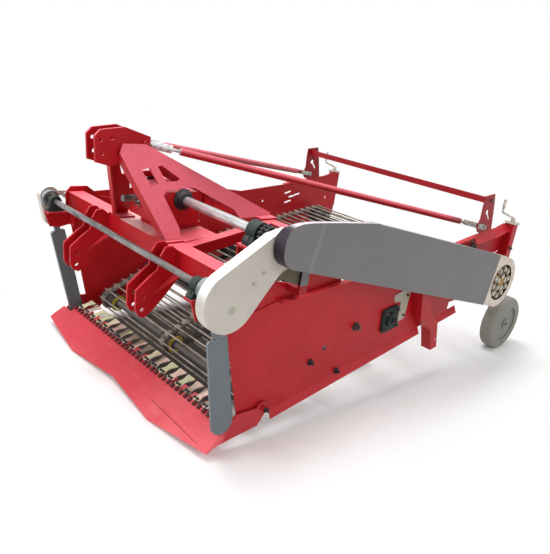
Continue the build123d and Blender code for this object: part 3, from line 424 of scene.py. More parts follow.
front_low, front_high = (Vector(corner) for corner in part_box("front_rollers"))
front_y, front_z = (front_low.y + front_high.y) / 2, (front_low.z + front_high.z) / 2
net = Net("front_roller_plastic")
off_y, off_z = net.place("Y") - front_y, net.place("Z") - front_z
reach = (off_y ** 2 + off_z ** 2).math("SQRT")
wide = net.facing("X").math("ABSOLUTE").above(0.7, 0.1)
rim = reach.above(0.027) * wide
tone = net.mix(wide, colour(46, 43, 39), colour(26, 34, 92))
tone = net.mix(rim, tone, colour(212, 196, 58))
steel = 1 - reach.above(0.0176)
tone = net.mix(steel, tone, colour(120, 116, 112))
soil = net.noise(0.02, detail=5).ramp(0.5, 0.75) * 0.6
front_roller_plastic = net.finish(net.mix(soil, tone, colour(60, 52, 44)), 0.55, net.noise(0.006), strength=0.2)


# %% Stays
def stay_paint(side):
    """Red between two plated ends, with rust-brown where the tube's rear end was heated."""
    low, high = (Vector(corner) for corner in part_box(f"{side}_stay"))
    near, far = (low.x, high.x) if side == "left" else (high.x, low.x)
    start = Vector((near + (0.01 if side == "left" else -0.01), low.y + 0.022, high.z - 0.022))
    end = Vector((far, high.y - 0.018, low.z + 0.016))
    length = (end - start).length
    net = Net(f"{side}_stay_paint")
    red = enamel(net, deep_red, soft_red, sky_red)
    spot = net.along(start, end)
    burnt = spot.ramp(length - 0.34, length - 0.25) * 0.6
    red = net.mix(burnt, red, colour(96, 52, 40))
    plated = (1 - spot.above(0.197)) + spot.above(length - 0.2)
    cloud = net.noise(0.02, detail=4).ramp(0.35, 0.7)
    forked = net.mix(cloud, colour(176, 172, 166), colour(118, 112, 104))
    sleeve = net.mix(cloud, colour(214, 212, 214), colour(150, 146, 146))
    tone = net.mix(plated, red, net.mix(spot.above(1.0), sleeve, forked))
    return net.finish(tone, 0.38, peel(net), strength=0.1, Metallic=plated * 0.45)


left_stay_paint, right_stay_paint = stay_paint("left"), stay_paint("right")

# %% [markdown]
# The arms are plates with a weld along both edges, which shows as a dark broken line. A bevel
# node finds the edges, and a noise that is drawn out along the arm breaks the line up.

# %% Arm paint
net = Net("arm_paint")
body = enamel(net, colour(92, 101, 106), colour(108, 116, 120), colour(158, 164, 168), dust_and_sheen=0.6)
beads = net.edges(0.006) * net.noise(0.03, detail=2, stretch=(1, 1, 1.5)).above(0.42, 0.04)
body = net.mix(beads * 0.8, body, colour(38, 40, 44))
arm_paint = net.finish(body, 0.45, peel(net), strength=0.12, Coat_Weight=0.05)

# %% Give each node its finish
finishes = {
    "red_paint": red_paint, "grey_paint": grey_paint, "case_paint": case_paint, "cover_paint": cover_paint,
    "bearing_green": bearing_green, "shaft_steel": bright_steel, "rod_steel": rod_steel, "zinc": zinc,
    "belt_rubber": belt_rubber, "roller_plastic": roller_plastic, "wheel_grey": wheel_grey,
}
special = {
    "share": share_paint, "share_tines": tine_zinc, "front_rollers": front_roller_plastic,
    "left_stay": left_stay_paint, "right_stay": right_stay_paint, "left_arm": arm_paint,
    "right_arm": arm_paint, "guard_plate": guard_paint, "slip_clutch": brass,
    "eccentric_shaft": grey_steel, "main_frame": frame_paint, "cross_bar": bar_paint_shaded, "left_upright": bar_paint_shaded,
    "right_upright": bar_paint_shaded, "tie_tube": bar_paint_shaded,
}
for node in ("panel", "hitch", "corner_post", "leg", "foot"):
    special.update({f"{side}_{node}": panel_paint for side in ("left", "right")})
for part in frame["record"]["subparts"]:
    material = special.get(part["node"], finishes[part["material_slot"]])
    mesh = nodes[part["node"]].data
    mesh.materials.clear()
    mesh.materials.append(material)

# %% [markdown]
# ## Small parts
# Bolts, springs and straps are all grids of points: rows along an axis or a path, and columns
# round it. One function turns such grids into a closed mesh, many copies at once. Another turns
# a profile round an axis, and a third carries a section along a path.

# %% Grids of points
def axes_of(axis):
    """Two unit vectors square to an axis, and the axis itself, as a right-handed set."""
    axis = np.array(axis, float)
    axis /= np.linalg.norm(axis)
    across = np.cross(axis, (0, 0, 1) if abs(axis[2]) < 0.9 else (0, 1, 0))
    across /= np.linalg.norm(across)
    return across, np.cross(axis, across), axis


def turned(profile, place, axis, steps=24):
    """Rows of (distance, radius, hexness) turned round an axis.

    A point at angle a lies at place + axis * distance + radius * (u cos a + v sin a). Where
    hexness is 1, the radius follows a hexagon with that radius at its corners.
    """
    profile = np.array(profile, float)
    u, v, w = axes_of(axis)
    angle = np.arange(steps) * 2 * pi / steps
    flat = cos(pi / 6) / np.cos(angle % (pi / 3) - pi / 6)
    radius = profile[:, 1:2] * (1 + profile[:, 2:3] * (flat - 1))
    ring = np.cos(angle)[:, None] * u + np.sin(angle)[:, None] * v
    return np.array(place) + profile[:, 0, None, None] * w + radius[:, :, None] * ring


# %% Sections carried along a path
def carried(section, path, up):
    """A section of (across, height) points carried along a path.

    At each path point, across is measured along tangent x up, and height square to both.
    """
    path = np.array(path, float)
    section = np.array(section, float)
    tangent = np.gradient(path, axis=0)
    tangent /= np.linalg.norm(tangent, axis=1)[:, None]
    across = np.cross(tangent, up)
    across /= np.linalg.norm(across, axis=1)[:, None]
    height = np.cross(across, tangent)
    return (path[:, None] + section[None, :, 0:1] * across[:, None] + section[None, :, 1:2] * height[:, None])


def circle(radius, sides=8):
    """Points of a small round section."""
    angle = np.arange(sides) * 2 * pi / sides
    return np.stack([radius * np.cos(angle), radius * np.sin(angle)], axis=1)


# %% [markdown]
# A closed mesh needs four corners for each cell of the grid, wrapped round its columns, and a
# cap on its first and its last row. The row numbers of the corners are worked out for all cells
# at once. Each new piece says which body it rides on and which material slot it takes.

# %% From grids to a mesh
def skin(name, grids, material, body, sharp=35, hoop=False):
    """One mesh from grids of equal shape (copies, rows, columns, 3), each closed round and capped.

    With hoop, the last row joins the first one instead of the two caps.
    """
    grids = np.array(grids, float)
    if grids.ndim == 3:
        grids = grids[None]
    copies, rows, columns, _ = grids.shape
    index = np.arange(copies * rows * columns).reshape(copies, rows, columns)
    after = np.roll(index, -1, axis=2)
    if hoop:
        index, after = (np.concatenate([part, part[:, :1]], axis=1) for part in (index, after))
    quads = np.stack([index[:, :-1], after[:, :-1], after[:, 1:], index[:, 1:]], axis=-1).reshape(-1, 4)
    caps = [] if hoop else np.concatenate([index[:, 0, ::-1], index[:, -1]]).tolist()
    mesh = bpy.data.meshes.new(name)
    mesh.from_pydata(grids.reshape(-1, 3).tolist(), [], quads.tolist() + caps)
    mesh.shade_smooth()
    mesh.set_sharp_from_angle(angle=radians(sharp))
    mesh.materials.append(material)
    made = bpy.data.objects.new(name, mesh)
    bpy.context.scene.collection.objects.link(made)
    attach(made, body)
    print(name, copies, "copies,", len(mesh.polygons), "faces")
    return made


# %% [markdown]
# The small parts take their places from the boxes of the frame's nodes.

# %% Places read from the frame
def corners_of(node):
    """The low and the high corner of a node's box, in metres."""
    return [np.array(corner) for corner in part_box(node)]


def middle_of(node):
    """The middle of a node's box, in metres."""
    low, high = corners_of(node)
    return (low + high) / 2


# %% [markdown]
# A bolt is a washer, a hexagon head with a small chamfer and, where a nut sits on a thread, the
# end of the thread. All sizes follow the thread's radius.

# %% Bolts
def bolts(name, places, axis, r, material=dark_steel, body="frame", stud=1.2):
    """A washer, a hexagon and the end of a stud at each place; r is the thread's radius."""
    profile = [(0, 2.1 * r, 0), (0.28 * r, 2.1 * r, 0), (0.3 * r, 1.75 * r, 1), (1.5 * r, 1.75 * r, 1),
               (1.75 * r, 1.45 * r, 0.5), (1.76 * r, r, 0), ((1.76 + stud) * r, r, 0),
               ((1.9 + stud) * r, 0.8 * r, 0)]
    return skin(name, [turned(profile, place, axis, 24) for place in places], material, body)


# %% Roller bolts
panel_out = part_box("left_foot")[0][0]         # outer faces of the two side panels
far_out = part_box("right_foot")[1][0]
ret = middle_of("return_rollers")
top_low, top_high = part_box("top_rollers")
bend = np.array([0, top_low[1] + 0.022, top_low[2] + 0.022])
top = np.array([0, top_high[1] - 0.086, top_high[2] - 0.086])
drive = np.array([0, drive_y, drive_z])
for side, face_x, out in (("left", panel_out, 1), ("right", far_out, -1)):
    outward = (out, 0, 0)
    bolts(f"{side}_roller_bolts", [(face_x, *ret[1:]), (face_x, *bend[1:])], outward, 0.009, material=black_paint)
    bolts(f"{side}_idler_nut", [(face_x, top[1] - 0.311, top[2] + 0.009)], outward, 0.012)
    bolts(f"{side}_turn_nut", [(face_x + out * 0.038, front_y, front_z)], outward, 0.007, material=black_paint)

# %% [markdown]
# Each flange bearing is a square casting with a bolt in each corner, and its shaft's end
# carries a bright hexagon.

# %% Flange bearings
tilt = radians(8)
corner_r, flange_t, hub_out = 0.074, 0.014, 0.0445
corners = np.array([(cos(a) * corner_r, sin(a) * corner_r) for a in np.arange(4) * pi / 2 + pi / 4 + tilt])
for side, face_x, out, centres in (("left", panel_out, 1, (top,)), ("right", far_out, -1, (top, drive))):
    places = [(face_x + out * flange_t, c[1] + a, c[2] + b) for c in centres for a, b in corners]
    bolts(f"{side}_flange_bolts", places, (out, 0, 0), 0.007)
    name = f"{side}_shaft_nut" if len(centres) == 1 else f"{side}_shaft_nuts"
    bolts(name, [(face_x + out * hub_out, *c[1:]) for c in centres], (out, 0, 0), 0.0085, stud=0.8)

# %% Pillow bearings
shake = middle_of("left_eccentric_bearing")
foot_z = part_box("left_eccentric_bearing")[0][2] + 0.014
places = [(middle_of(f"{side}_eccentric_bearing")[0], shake[1] + d, foot_z)
          for side in ("left", "right") for d in (-0.045, 0.045)]
bolts("eccentric_bearing_bolts", places, (0, 0, 1), 0.006)
stand = middle_of("cross_shaft_bearing")
stand_low, stand_high = corners_of("cross_shaft_bearing")
places = [(stand[0], stand[1] + d, stand_low[2] + 0.024) for d in (-0.055, 0.055)]
bolts("cross_bearing_bolts", places, (0, 0, 1), 0.0065)

# %% [markdown]
# ## The slip clutch
# In the open end of the case, ten long bolts in an outer ring and five in an inner one press a
# stack of plates together with a coil spring each. A spring is a small round section carried
# along a helix: each point of the helix lies on a circle round the bolt, and the turn's angle
# grows with the distance along it.

# %% Clutch springs
clutch = np.array([case_high.x, drive_y, drive_z])
rings = ((0.092, 10), (0.045, 5))             # radius and number of bolts
seats = [clutch + np.array([0, r * cos(a), r * sin(a)]) for r, count in rings
         for a in np.arange(count) * 2 * pi / count + 0.2]
spring_in, spring_out = case_low.x + 0.028 - clutch[0], -0.014
t = np.linspace(0, 1, 70)
turns, coil_r, wire_r = 5.0, 0.0165, 0.0034
helix = np.stack([spring_in + t * (spring_out - spring_in), coil_r * np.cos(2 * pi * turns * t),
                  coil_r * np.sin(2 * pi * turns * t)], axis=1)
coils = [carried(circle(wire_r, 6), helix + seat, (1, 0, 0)) for seat in seats]
skin("clutch_springs", coils[::2], silver, "frame")
skin("clutch_tinted_springs", coils[1::2], brass, "frame")

# %% Clutch bolts and cups
rows = [(spring_in, 0.0075, 0), (spring_out, 0.0075, 0), (spring_out + 0.0002, 0.0215, 0),
        (spring_out + 0.003, 0.0215, 0), (spring_out + 0.0031, 0.018, 1), (-0.004, 0.018, 1),
        (-0.0035, 0.0105, 0), (-0.001, 0.0105, 0)]
skin("clutch_bolts", [turned(rows, seat, (1, 0, 0)) for seat in seats], zinc, "frame")
rows = [(spring_in, 0.019, 0), (spring_in + 0.009, 0.019, 0), (spring_in + 0.0095, 0.016, 0)]
skin("clutch_cups", [turned(rows, seat, (1, 0, 0)) for seat in seats], brass, "frame")

# %% [markdown]
# ## The cross shaft
# Where it leaves the gearbox it runs in a black cap with a ring of bolts. Outside its stand it
# drives the case through a black toothed coupling: a wheel whose radius swings between two
# values as the angle goes round. The input shaft's splines are the same form with few teeth.

# %% Gearbox caps
shaft = middle_of("cross_shaft")
gear_low, gear_high = corners_of("gearbox")
cap_deep = 0.014                              # the caps' feet start this far inside the housing
cap_x = gear_high[0] - cap_deep
rows = [(0, 0.056, 0), (0.006, 0.056, 0), (0.008, 0.052, 0), (0.014, 0.048, 0), (0.016, 0.044, 0),
        (0.03, 0.042, 0), (0.033, 0.038, 0), (0.034, 0.0245, 0)]
caps = [turned(rows, (cap_x, shaft[1], shaft[2]), (1, 0, 0), 32),
        turned(rows, (gear_low[0] + cap_deep, shaft[1], shaft[2]), (-1, 0, 0), 32)]
skin("gearbox_caps", caps, black_paint, "frame")
ring = [(cap_x + 0.006, shaft[1] + 0.051 * cos(a), shaft[2] + 0.051 * sin(a)) for a in np.arange(6) * pi / 3]
bolts("gearbox_cap_bolts", ring, (1, 0, 0), 0.0032, stud=0.0)


# %% Coupling
def toothed(inner, outer, teeth, start, end, place, axis, columns=12):
    """A toothed wheel: its radius goes smoothly between inner and outer, teeth times a turn."""
    steps = teeth * columns
    angle = np.arange(steps) * 2 * pi / steps
    wave = 0.5 + 0.5 * np.tanh(3 * np.sin(teeth * angle)) / np.tanh(3)
    radius = inner + (outer - inner) * wave
    u, v, w = axes_of(axis)
    ring = np.cos(angle)[:, None] * u + np.sin(angle)[:, None] * v
    rows = [(start, 0.8), (start + 0.0005, 1.0), (end - 0.0005, 1.0), (end, 0.8)]
    return np.array([np.array(place) + w * d + ring * (radius * f)[:, None] for d, f in rows])


place = (stand_high[0], shaft[1], shaft[2])
wheels = [toothed(0.043, 0.050, 14, a, a + 0.02, place, (1, 0, 0), 8) for a in (0.014, 0.042)]
skin("coupling", wheels, black_paint, "cross_shaft")
rows = [(0.004, 0.026, 0), (0.005, 0.033, 0), (0.0145, 0.033, 0), (0.0615, 0.033, 0), (0.0625, 0.03, 0),
        (0.1, 0.03, 0)]
skin("coupling_hub", turned(rows, place, (1, 0, 0), 32), grey_steel, "cross_shaft")
ring = [(place[0] + 0.0615, shaft[1] + 0.04 * cos(a), shaft[2] + 0.04 * sin(a)) for a in np.arange(5) * 2 * pi / 5]
bolts("coupling_bolts", ring, (1, 0, 0), 0.0036, silver, "cross_shaft", stud=0.3)

# %% Input shaft
entry_low, entry_high = corners_of("input_shaft")
entry = (entry_low + entry_high) / 2
entry_tip = (entry[0], entry_low[1], entry[2])
journal_r = entry_high[2] - entry[2]
spline_r, spline_end = 0.0174, 0.085
splines = toothed(0.0152, spline_r, 6, 0.0, spline_end - 0.004, entry_tip, (0, 1, 0), 20)
rows = [(spline_end - 0.004, spline_r, 0), (spline_end - 0.0002, spline_r, 0), (spline_end, journal_r, 0),
        (entry_high[1] - entry_low[1], journal_r, 0)]
splined = skin("splined_shaft", splines, grey_steel, "input_shaft")
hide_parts("input_shaft")
skin("input_journal", turned(rows, entry_tip, (0, 1, 0), 40), bright_steel, "input_shaft")
collar_y = gear_low[1]
rows = [(-0.003, 0.0225, 0), (-0.003, 0.0335, 0), (0.001, 0.0335, 0)]
skin("input_seal", turned(rows, (entry[0], collar_y, entry[2]), (0, 1, 0), 32), black_paint, "frame")
ring = [(entry[0] + 0.0425 * cos(a), collar_y, entry[2] + 0.0425 * sin(a)) for a in np.arange(6) * pi / 3]
bolts("collar_bolts", ring, (0, -1, 0), 0.003, stud=0.0)

# %% [markdown]
# ## Straps of the rod chain
# Each rod is riveted to each belt by a small steel strap that bends over it. The strap's shape
# is a path in the plane square to the rod: flat, up, over the rod and down again. The rods'
# places are read from their own mesh, and the belt's direction there from the rods beside them.

# %% Where the rods lie
rod_mesh = nodes["chain_rods"].data
points = np.empty(len(rod_mesh.vertices) * 3)
rod_mesh.vertices.foreach_get("co", points)
points = points.reshape(-1, 3)
points = points[points[:, 0] > points[:, 0].max() - 0.001][:, 1:]
centres = []
while len(points):
    close = np.linalg.norm(points - points[0], axis=1) < 0.02
    centres.append((points[close].min(axis=0) + points[close].max(axis=0)) / 2)
    points = points[~close]
chain = [centres.pop(0)]
while centres:
    nearest = int(np.argmin([np.linalg.norm(c - chain[-1]) for c in centres]))
    chain.append(centres.pop(nearest))
chain = np.array(chain)
along = np.roll(chain, -1, axis=0) - np.roll(chain, 1, axis=0)
along /= np.linalg.norm(along, axis=1)[:, None]
loop_area = np.sum(chain[:, 0] * np.roll(chain[:, 1], -1) - chain[:, 1] * np.roll(chain[:, 0], -1))
outward = np.stack([along[:, 1], -along[:, 0]], axis=1) * np.sign(loop_area)
print("rods", len(chain), "loop area", round(abs(loop_area) / 2, 3))

# %% Rod straps
rod_r = 0.0055
flat = -rod_r + 0.0004                        # the strap's ends lie on the belt
strap = np.array([(-0.021, flat), (-0.0085, flat), (-0.006, 0.003), (-0.003, 0.0056), (0, 0.0064),
                  (0.003, 0.0056), (0.006, 0.003), (0.0085, flat), (0.021, flat)])
belt_low, belt_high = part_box("chain_belts")
half_belt = 0.03
belts = (belt_low[0] + half_belt, (belt_low[0] + belt_high[0]) / 2, belt_high[0] - half_belt)
section = np.array([(-0.017, 0), (0.017, 0), (0.017, 0.0025), (-0.017, 0.0025)])
grids = []
for x in belts:
    for centre, step, out in zip(chain, along, outward):
        bent = centre + strap[:, :1] * step + strap[:, 1:] * out
        grids.append(carried(section, np.insert(bent, 0, x, axis=1), (0, *out)))
skin("rod_straps", grids, rod_steel, "frame", sharp=50)

# %% [markdown]
# ## Bolts of the covers and the frame
# The white cover is held by two small bolts and has a dimple near the shaft. The cross bar, the
# uprights and the corner posts have their own bolts, and a cap closes each wheel's hub.

# %% Cover bolts
cover_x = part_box("front_drive_cover")[1][0]
shake_y, shake_z = shake[1], middle_of("eccentric_shaft")[2]
places = [(cover_x, shake_y + 0.109, shake_z + 0.064), (cover_x, shake_y + 0.158, shake_z + 0.107)]
bolts("cover_bolts", places, (1, 0, 0), 0.0042, guard_paint, stud=0.6)
rows = [(0, 0.021, 0), (0.0008, 0.02, 0), (0.0012, 0.012, 0), (0.0006, 0.004, 0)]
dimple = turned(rows, (cover_x, shake_y + 0.01, shake_z - 0.04), (1, 0, 0), 32)
skin("cover_dimple", dimple, guard_paint, "frame")
far_cover_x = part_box("far_shaft_cover")[0][0]
bolts("far_cover_bolts", [(far_cover_x, shake_y + 0.03, shake_z - 0.13)], (-1, 0, 0), 0.0045)

# %% Frame bolts and wheel caps
upright_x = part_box("left_upright")[1][0]
bar = middle_of("cross_bar")
for side, out, face_x in (("left", 1, upright_x), ("right", -1, -upright_x + 2 * bar[0])):
    bolts(f"{side}_bar_bolt", [(face_x, bar[1] + 0.028, bar[2])], (out, 0, 0), 0.006, stud=0.6)
bolts("left_corner_bolt", [(panel_out, drive_y - 0.151, drive_z + 0.208)], (1, 0, 0), 0.012)
guard_low, guard_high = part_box("guard_plate")
places = [(guard_high[0], guard_low[1] + 0.13, guard_low[2] + z) for z in (0.04, 0.17)]
bolts("guard_bolts", places, (1, 0, 0), 0.0045)
for side, s in (("left", 1), ("right", -1)):
    post = middle_of(f"{side}_corner_post")
    places = [(post[0] + s * 0.03, post[1], post[2] + z) for z in (-0.12, 0.02)]
    bolts(f"{side}_post_bolts", places, (s, 0, 0), 0.007, stud=0.6)
    hub = middle_of(f"{side}_wheel")
    hub_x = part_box(f"{side}_wheel")[1 if s > 0 else 0][0] - s * 0.0125
    rows = [(0, 0.03, 0), (0.004, 0.03, 0), (0.0042, 0.02, 1), (0.008, 0.02, 1), (0.0085, 0.016, 0)]
    skin(f"{side}_wheel_cap", turned(rows, (hub_x, hub[1], hub[2]), (s, 0, 0)), grey_steel, f"{side}_leg")

# %% [markdown]
# ## Welds
# A bead runs up each side of a hitch ear, where it meets the beam. It is a round section whose
# middle swings a little and whose radius swells once per drop, as in hand welding: the swing is
# 0.0008 sin(k t / 2) and the swell r (1 + 0.18 sin(k t)).

# %% Weld beads
def bead(start, end, r=0.004, pitch=0.008):
    """A weld bead along an upright line; pitch is the length of one drop."""
    start, end = np.array(start, float), np.array(end, float)
    length = np.linalg.norm(end - start)
    t = np.linspace(0, 1, max(int(length / pitch), 4) * 2 + 1)
    side, axis = np.array((1.0, 0, 0)), (end - start) / length
    swing = 0.0008 * np.sin(t * length / pitch * pi)
    swell = r * (1 + 0.18 * np.sin(t * length / pitch * 2 * pi))
    path = start + (end - start) * t[:, None] + side * swing[:, None]
    ring = circle(1.0, 6)
    return path[:, None] + swell[:, None, None] * (ring[:, 0:1] * side + ring[:, 1:2] * np.cross(axis, side))


for side in ("left", "right"):
    low, high = corners_of(f"{side}_hitch")
    mid, y = (low[0] + high[0]) / 2, high[1] - 0.002
    for index, x in enumerate((-0.045, -0.033, 0.033, 0.045)):
        weld = bead((mid + x, y, low[2] + 0.165), (mid + x, y, low[2] + 0.32))
        skin(f"{side}_hitch_weld_{index + 1}", weld, red_paint, "frame")

# %% [markdown]
# ## Rear folds
# Behind each upright the panel's top edge is folded outwards, and the fold climbs to the corner
# post. It is a strip with a slanted section that follows three points.

# %% Rear folds
fold_wide, fold_drop, fold_t = 0.04, 0.052, 0.005
for side, s in (("left", 1), ("right", -1)):
    post_low, post_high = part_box(f"{side}_corner_post")
    edge = panel_out - 0.0002 if s > 0 else far_out + 0.0002
    path = [(post_low[1] - 0.131, post_high[2] - 0.0312), (post_low[1] - 0.033, post_high[2] - 0.007),
            (post_low[1] - 0.001, post_high[2] - 0.007)]
    section = [(0, 0), (fold_wide, -fold_drop), (fold_wide - fold_t, -fold_drop), (-fold_t, 0)][::s]
    grid = np.array([[(edge + s * a, y, z + b) for a, b in section] for y, z in path])
    skin(f"{side}_rear_fold", grid[:, ::-1], panel_paint, "frame")

# %% [markdown]
# ## Tines
# Each tine is a strip of spring steel with a waist: its half width is read from a short table
# along its length, and its middle bows up by half a sine. It stands on the share's slope, so a
# point at (reach, height) on it lies at reach along the slope and height square to it.

# %% Tines
tine_low, tine_high = corners_of("share_tines")
tine_count, tine_long, tine_t = 19, 0.102, 0.005
tine_x = np.linspace(tine_low[0] + 0.03, tine_high[0] - 0.03, tine_count)
slope = radians(14)
run, rise = cos(slope), sin(slope)
tine_start = np.array([0, tine_low[1] + 0.0012, tine_low[2]])
t = np.linspace(0, 1, 13)
reach = t * tine_long
half = np.interp(t, (0, 0.2, 0.45, 0.62, 0.95, 1.0), (0.026, 0.026, 0.017, 0.019, 0.0315, 0.029))
bow = 0.001 * np.sin(pi * t)
grids = []
for x in tine_x:
    corners = []
    for across, lift in ((-1, 0.0), (1, 0.0), (1, tine_t), (-1, tine_t)):
        height = lift + bow
        corners.append(np.stack([x + across * half, tine_start[1] + reach * run - height * rise,
                                 tine_start[2] + reach * rise + height * run], axis=1))
    grids.append(np.stack(corners, axis=1)[:, ::-1])
tines = skin("tines", grids, tine_zinc, "share")
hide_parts("share_tines")

# %% [markdown]
# Two dark bolts hold each tine, and two clamps, painted with the share but darkened here by painted
# shade, hook over the share's rear edge beside it. A clamp is a square section carried along a short path down the
# edge.

# %% Tine bolts and clamps
bolt_reach = 0.016
places = [(x + d, tine_start[1] + bolt_reach * run - tine_t * rise, tine_start[2] + bolt_reach * rise + tine_t * run)
          for x in tine_x for d in (-0.011, 0.011)]
bolts("tine_bolts", places, (0, -rise, run), 0.0042, material=black_paint, body="share", stud=0.4)
net = Net("clamp_paint")
# Painted shade: the clamps take a far darker red than the share, in blotches.
worn = net.mix(net.noise(0.02).ramp(0.4, 0.7), colour(58, 12, 16), colour(96, 22, 26))
clamp_paint = net.finish(worn, 0.6, peel(net), strength=0.15)
steep = radians(33)
section = [(-0.0095, 0), (0.0095, 0), (0.0095, 0.009), (-0.0095, 0.009)]
grids = []
for x in tine_x:
    for d in (-0.0205, 0.0205):
        base = tine_start + np.array([x + d, 0, 0])
        path = [base + np.array([0, -q * cos(steep), -q * sin(steep)]) for q in (0.022, 0.002, -0.006)]
        grids.append(carried(section, path, (0, -sin(steep), cos(steep))))
skin("tine_clamps", grids, clamp_paint, "share")

# %% [markdown]
# ## Arms
# Each arm hangs from its eccentric in a ring and shakes the share. It is a flat bar with a round
# lower end and a narrow neck. The strip's half width grows along a quarter circle, r sin(a) at
# r - r cos(a), so the end is round. The left bar passes outside the share's side plate, and a
# short lug inside the plate takes its pin; the right bar goes straight to its pin.

# %% Flat bars
def bar_along(place, lean, rows, start_x, end_x):
    """Rows of (distance, half width, shift in X) of a flat bar that leans in the YZ plane."""
    lean = np.array((0, *lean)) / np.linalg.norm(lean)
    ahead = np.array((0, lean[2], -lean[1]))
    sides = ((start_x, -1), (end_x, -1), (end_x, 1), (start_x, 1))
    return np.array([[place + lean * d + ahead * half * v + np.array((x + shift, 0, 0)) for x, v in sides]
                     for d, half, shift in rows])


# %% Arm bars and rings
throw = 0.004                                 # how far each eccentric's disc lies off its shaft
eye = np.array([0, middle_of("eccentric_shaft")[1] + throw, shake_z])
right_arm_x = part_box("right_arm")[0][0]
arm_shapes = (                                # name, X from and to, lower end, its radius, half width, length
    ("left", (panel_out + 0.0145, panel_out + 0.0305), (0.126, -0.671), 0.06, 0.053, 0.455),
    ("right", (right_arm_x + 0.004, right_arm_x + 0.025), (0.189, -0.738), 0.042, 0.043, 0.545),
)
quarter = np.linspace(0.12, pi / 2, 9)
for side, (from_x, to_x), low_end, r, half, length in arm_shapes:
    eye_x = middle_of(f"{side}_arm")[0]
    foot = np.array([0, shake_y + low_end[0], shake_z + low_end[1]])
    lean = (eye - foot)[1:] / np.linalg.norm(eye - foot)
    whole = np.linalg.norm(eye - foot)
    shift = eye_x - (from_x + to_x) / 2
    rows = [(-r * cos(a), r * sin(a), 0) for a in quarter]
    rows += [(length * 0.5, (r + half) / 2, 0), (length, half, 0), (length + 0.008, half * 0.8, 0),
             (length + 0.0085, 0.016, 0), (whole - 0.08, 0.016, shift), (whole - 0.0445, 0.014, shift)]
    bar = skin(f"{side}_arm_bar", bar_along(foot, lean, rows, from_x, to_x), arm_paint, f"{side}_arm",
               sharp=30)
    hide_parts(f"{side}_arm")
    rows = [(-0.015, 0.0399, 0), (-0.015, 0.05, 0), (0.015, 0.05, 0), (0.015, 0.0399, 0)]
    ring = turned(rows, (eye_x, *eye[1:]), (1, 0, 0), 64)
    skin(f"{side}_arm_ring", ring, arm_paint, f"{side}_arm", hoop=True)

# %% Lug of the left arm
pin = np.array([0, shake_y + 0.184, shake_z - 0.738])
lug_lean, lug_x = (-0.2, 1), panel_out - 0.022
low_rows = [(-0.022, 0.012, 0), (-0.016, 0.02, 0), (0, 0.025, 0), (0.085, 0.025, 0)]
high_rows = [(0.0852, 0.025, 0), (0.09, 0.025, 0), (0.12, 0.025, 0), (0.125, 0.022, 0)]
grid = [bar_along(pin, lug_lean, low_rows, lug_x, panel_out + 0.002),
        bar_along(pin, lug_lean, high_rows, lug_x, panel_out + 0.016)]
skin("left_arm_lug", grid, arm_paint, "left_arm", sharp=30)

# %% [markdown]
# ## Legs
# Inside each corner post slides a square tube. Its foot turns inwards beside the wheel and
# carries a plate that goes back and down to the stub axle. The plate is a curved strip: its
# middle line follows a few points, and its half width swells at the hub.

# %% Legs
half, tube_bottom, foot_z, plate_t = 0.0235, 0.372, 0.392, 0.012
square = np.array([(-half, -half), (half, -half), (half, half), (-half, half)])
widths = (0.02, 0.022, 0.026, 0.028, 0.034, 0.034, 0.018)
for side, s in (("left", 1), ("right", -1)):
    leg_low, leg_high = corners_of(f"{side}_leg")
    post, hub = middle_of(f"{side}_corner_post"), middle_of(f"{side}_wheel")
    plate_in, tip = (leg_low[0], leg_high[0])[::s]
    upright = np.array([[(post[0] + a, post[1] + b, z) for a, b in square] for z in (tube_bottom, leg_high[2])])
    tube = skin(f"{side}_leg_tube", upright, panel_paint, f"{side}_leg")
    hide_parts(f"{side}_leg")
    ends = sorted((plate_in + s * 0.0005, post[0] + s * 0.0233))
    cross = np.array([[(x, post[1] + a, foot_z + b * 0.9) for a, b in square] for x in ends])
    skin(f"{side}_leg_foot", cross, panel_paint, f"{side}_leg")
    line = np.array([(post[1] - 0.02, foot_z), (post[1] + 0.05, 0.388), (post[1] + 0.12, 0.35),
                     (post[1] + 0.17, 0.29), (hub[1] - 0.01, hub[2] + 0.03), (hub[1], hub[2]),
                     (hub[1] + 0.004, hub[2] - 0.03)])
    step = np.gradient(line, axis=0)
    step /= np.linalg.norm(step, axis=1)[:, None]
    a, b = sorted((plate_in, plate_in + s * plate_t))
    plate = np.array([[(x, y + v * dz * wide, z - v * dy * wide) for x, v in ((a, 1), (a, -1), (b, -1), (b, 1))]
                      for (y, z), (dy, dz), wide in zip(line, step, widths)])
    skin(f"{side}_leg_plate", plate, panel_paint, f"{side}_leg")
    long = abs(tip - plate_in)
    rows = [(0, 0.015, 0), (long - 0.0525, 0.015, 0), (long - 0.0015, 0.0149, 0), (long, 0.0135, 0)]
    axle = turned(rows, (plate_in, hub[1], hub[2]), (s, 0, 0), 32)
    skin(f"{side}_leg_axle", axle, grey_steel, f"{side}_leg")

# %% [markdown]
# ## Top of the case, and the casting under it
# At its front the case's outer plate stands a little higher than the rest, round the nose and
# down to the bend. It is a strip whose lower edge lies on the case and whose upper edge follows
# a short list of points, measured from the cross shaft. Below it an iron casting joins the strut.

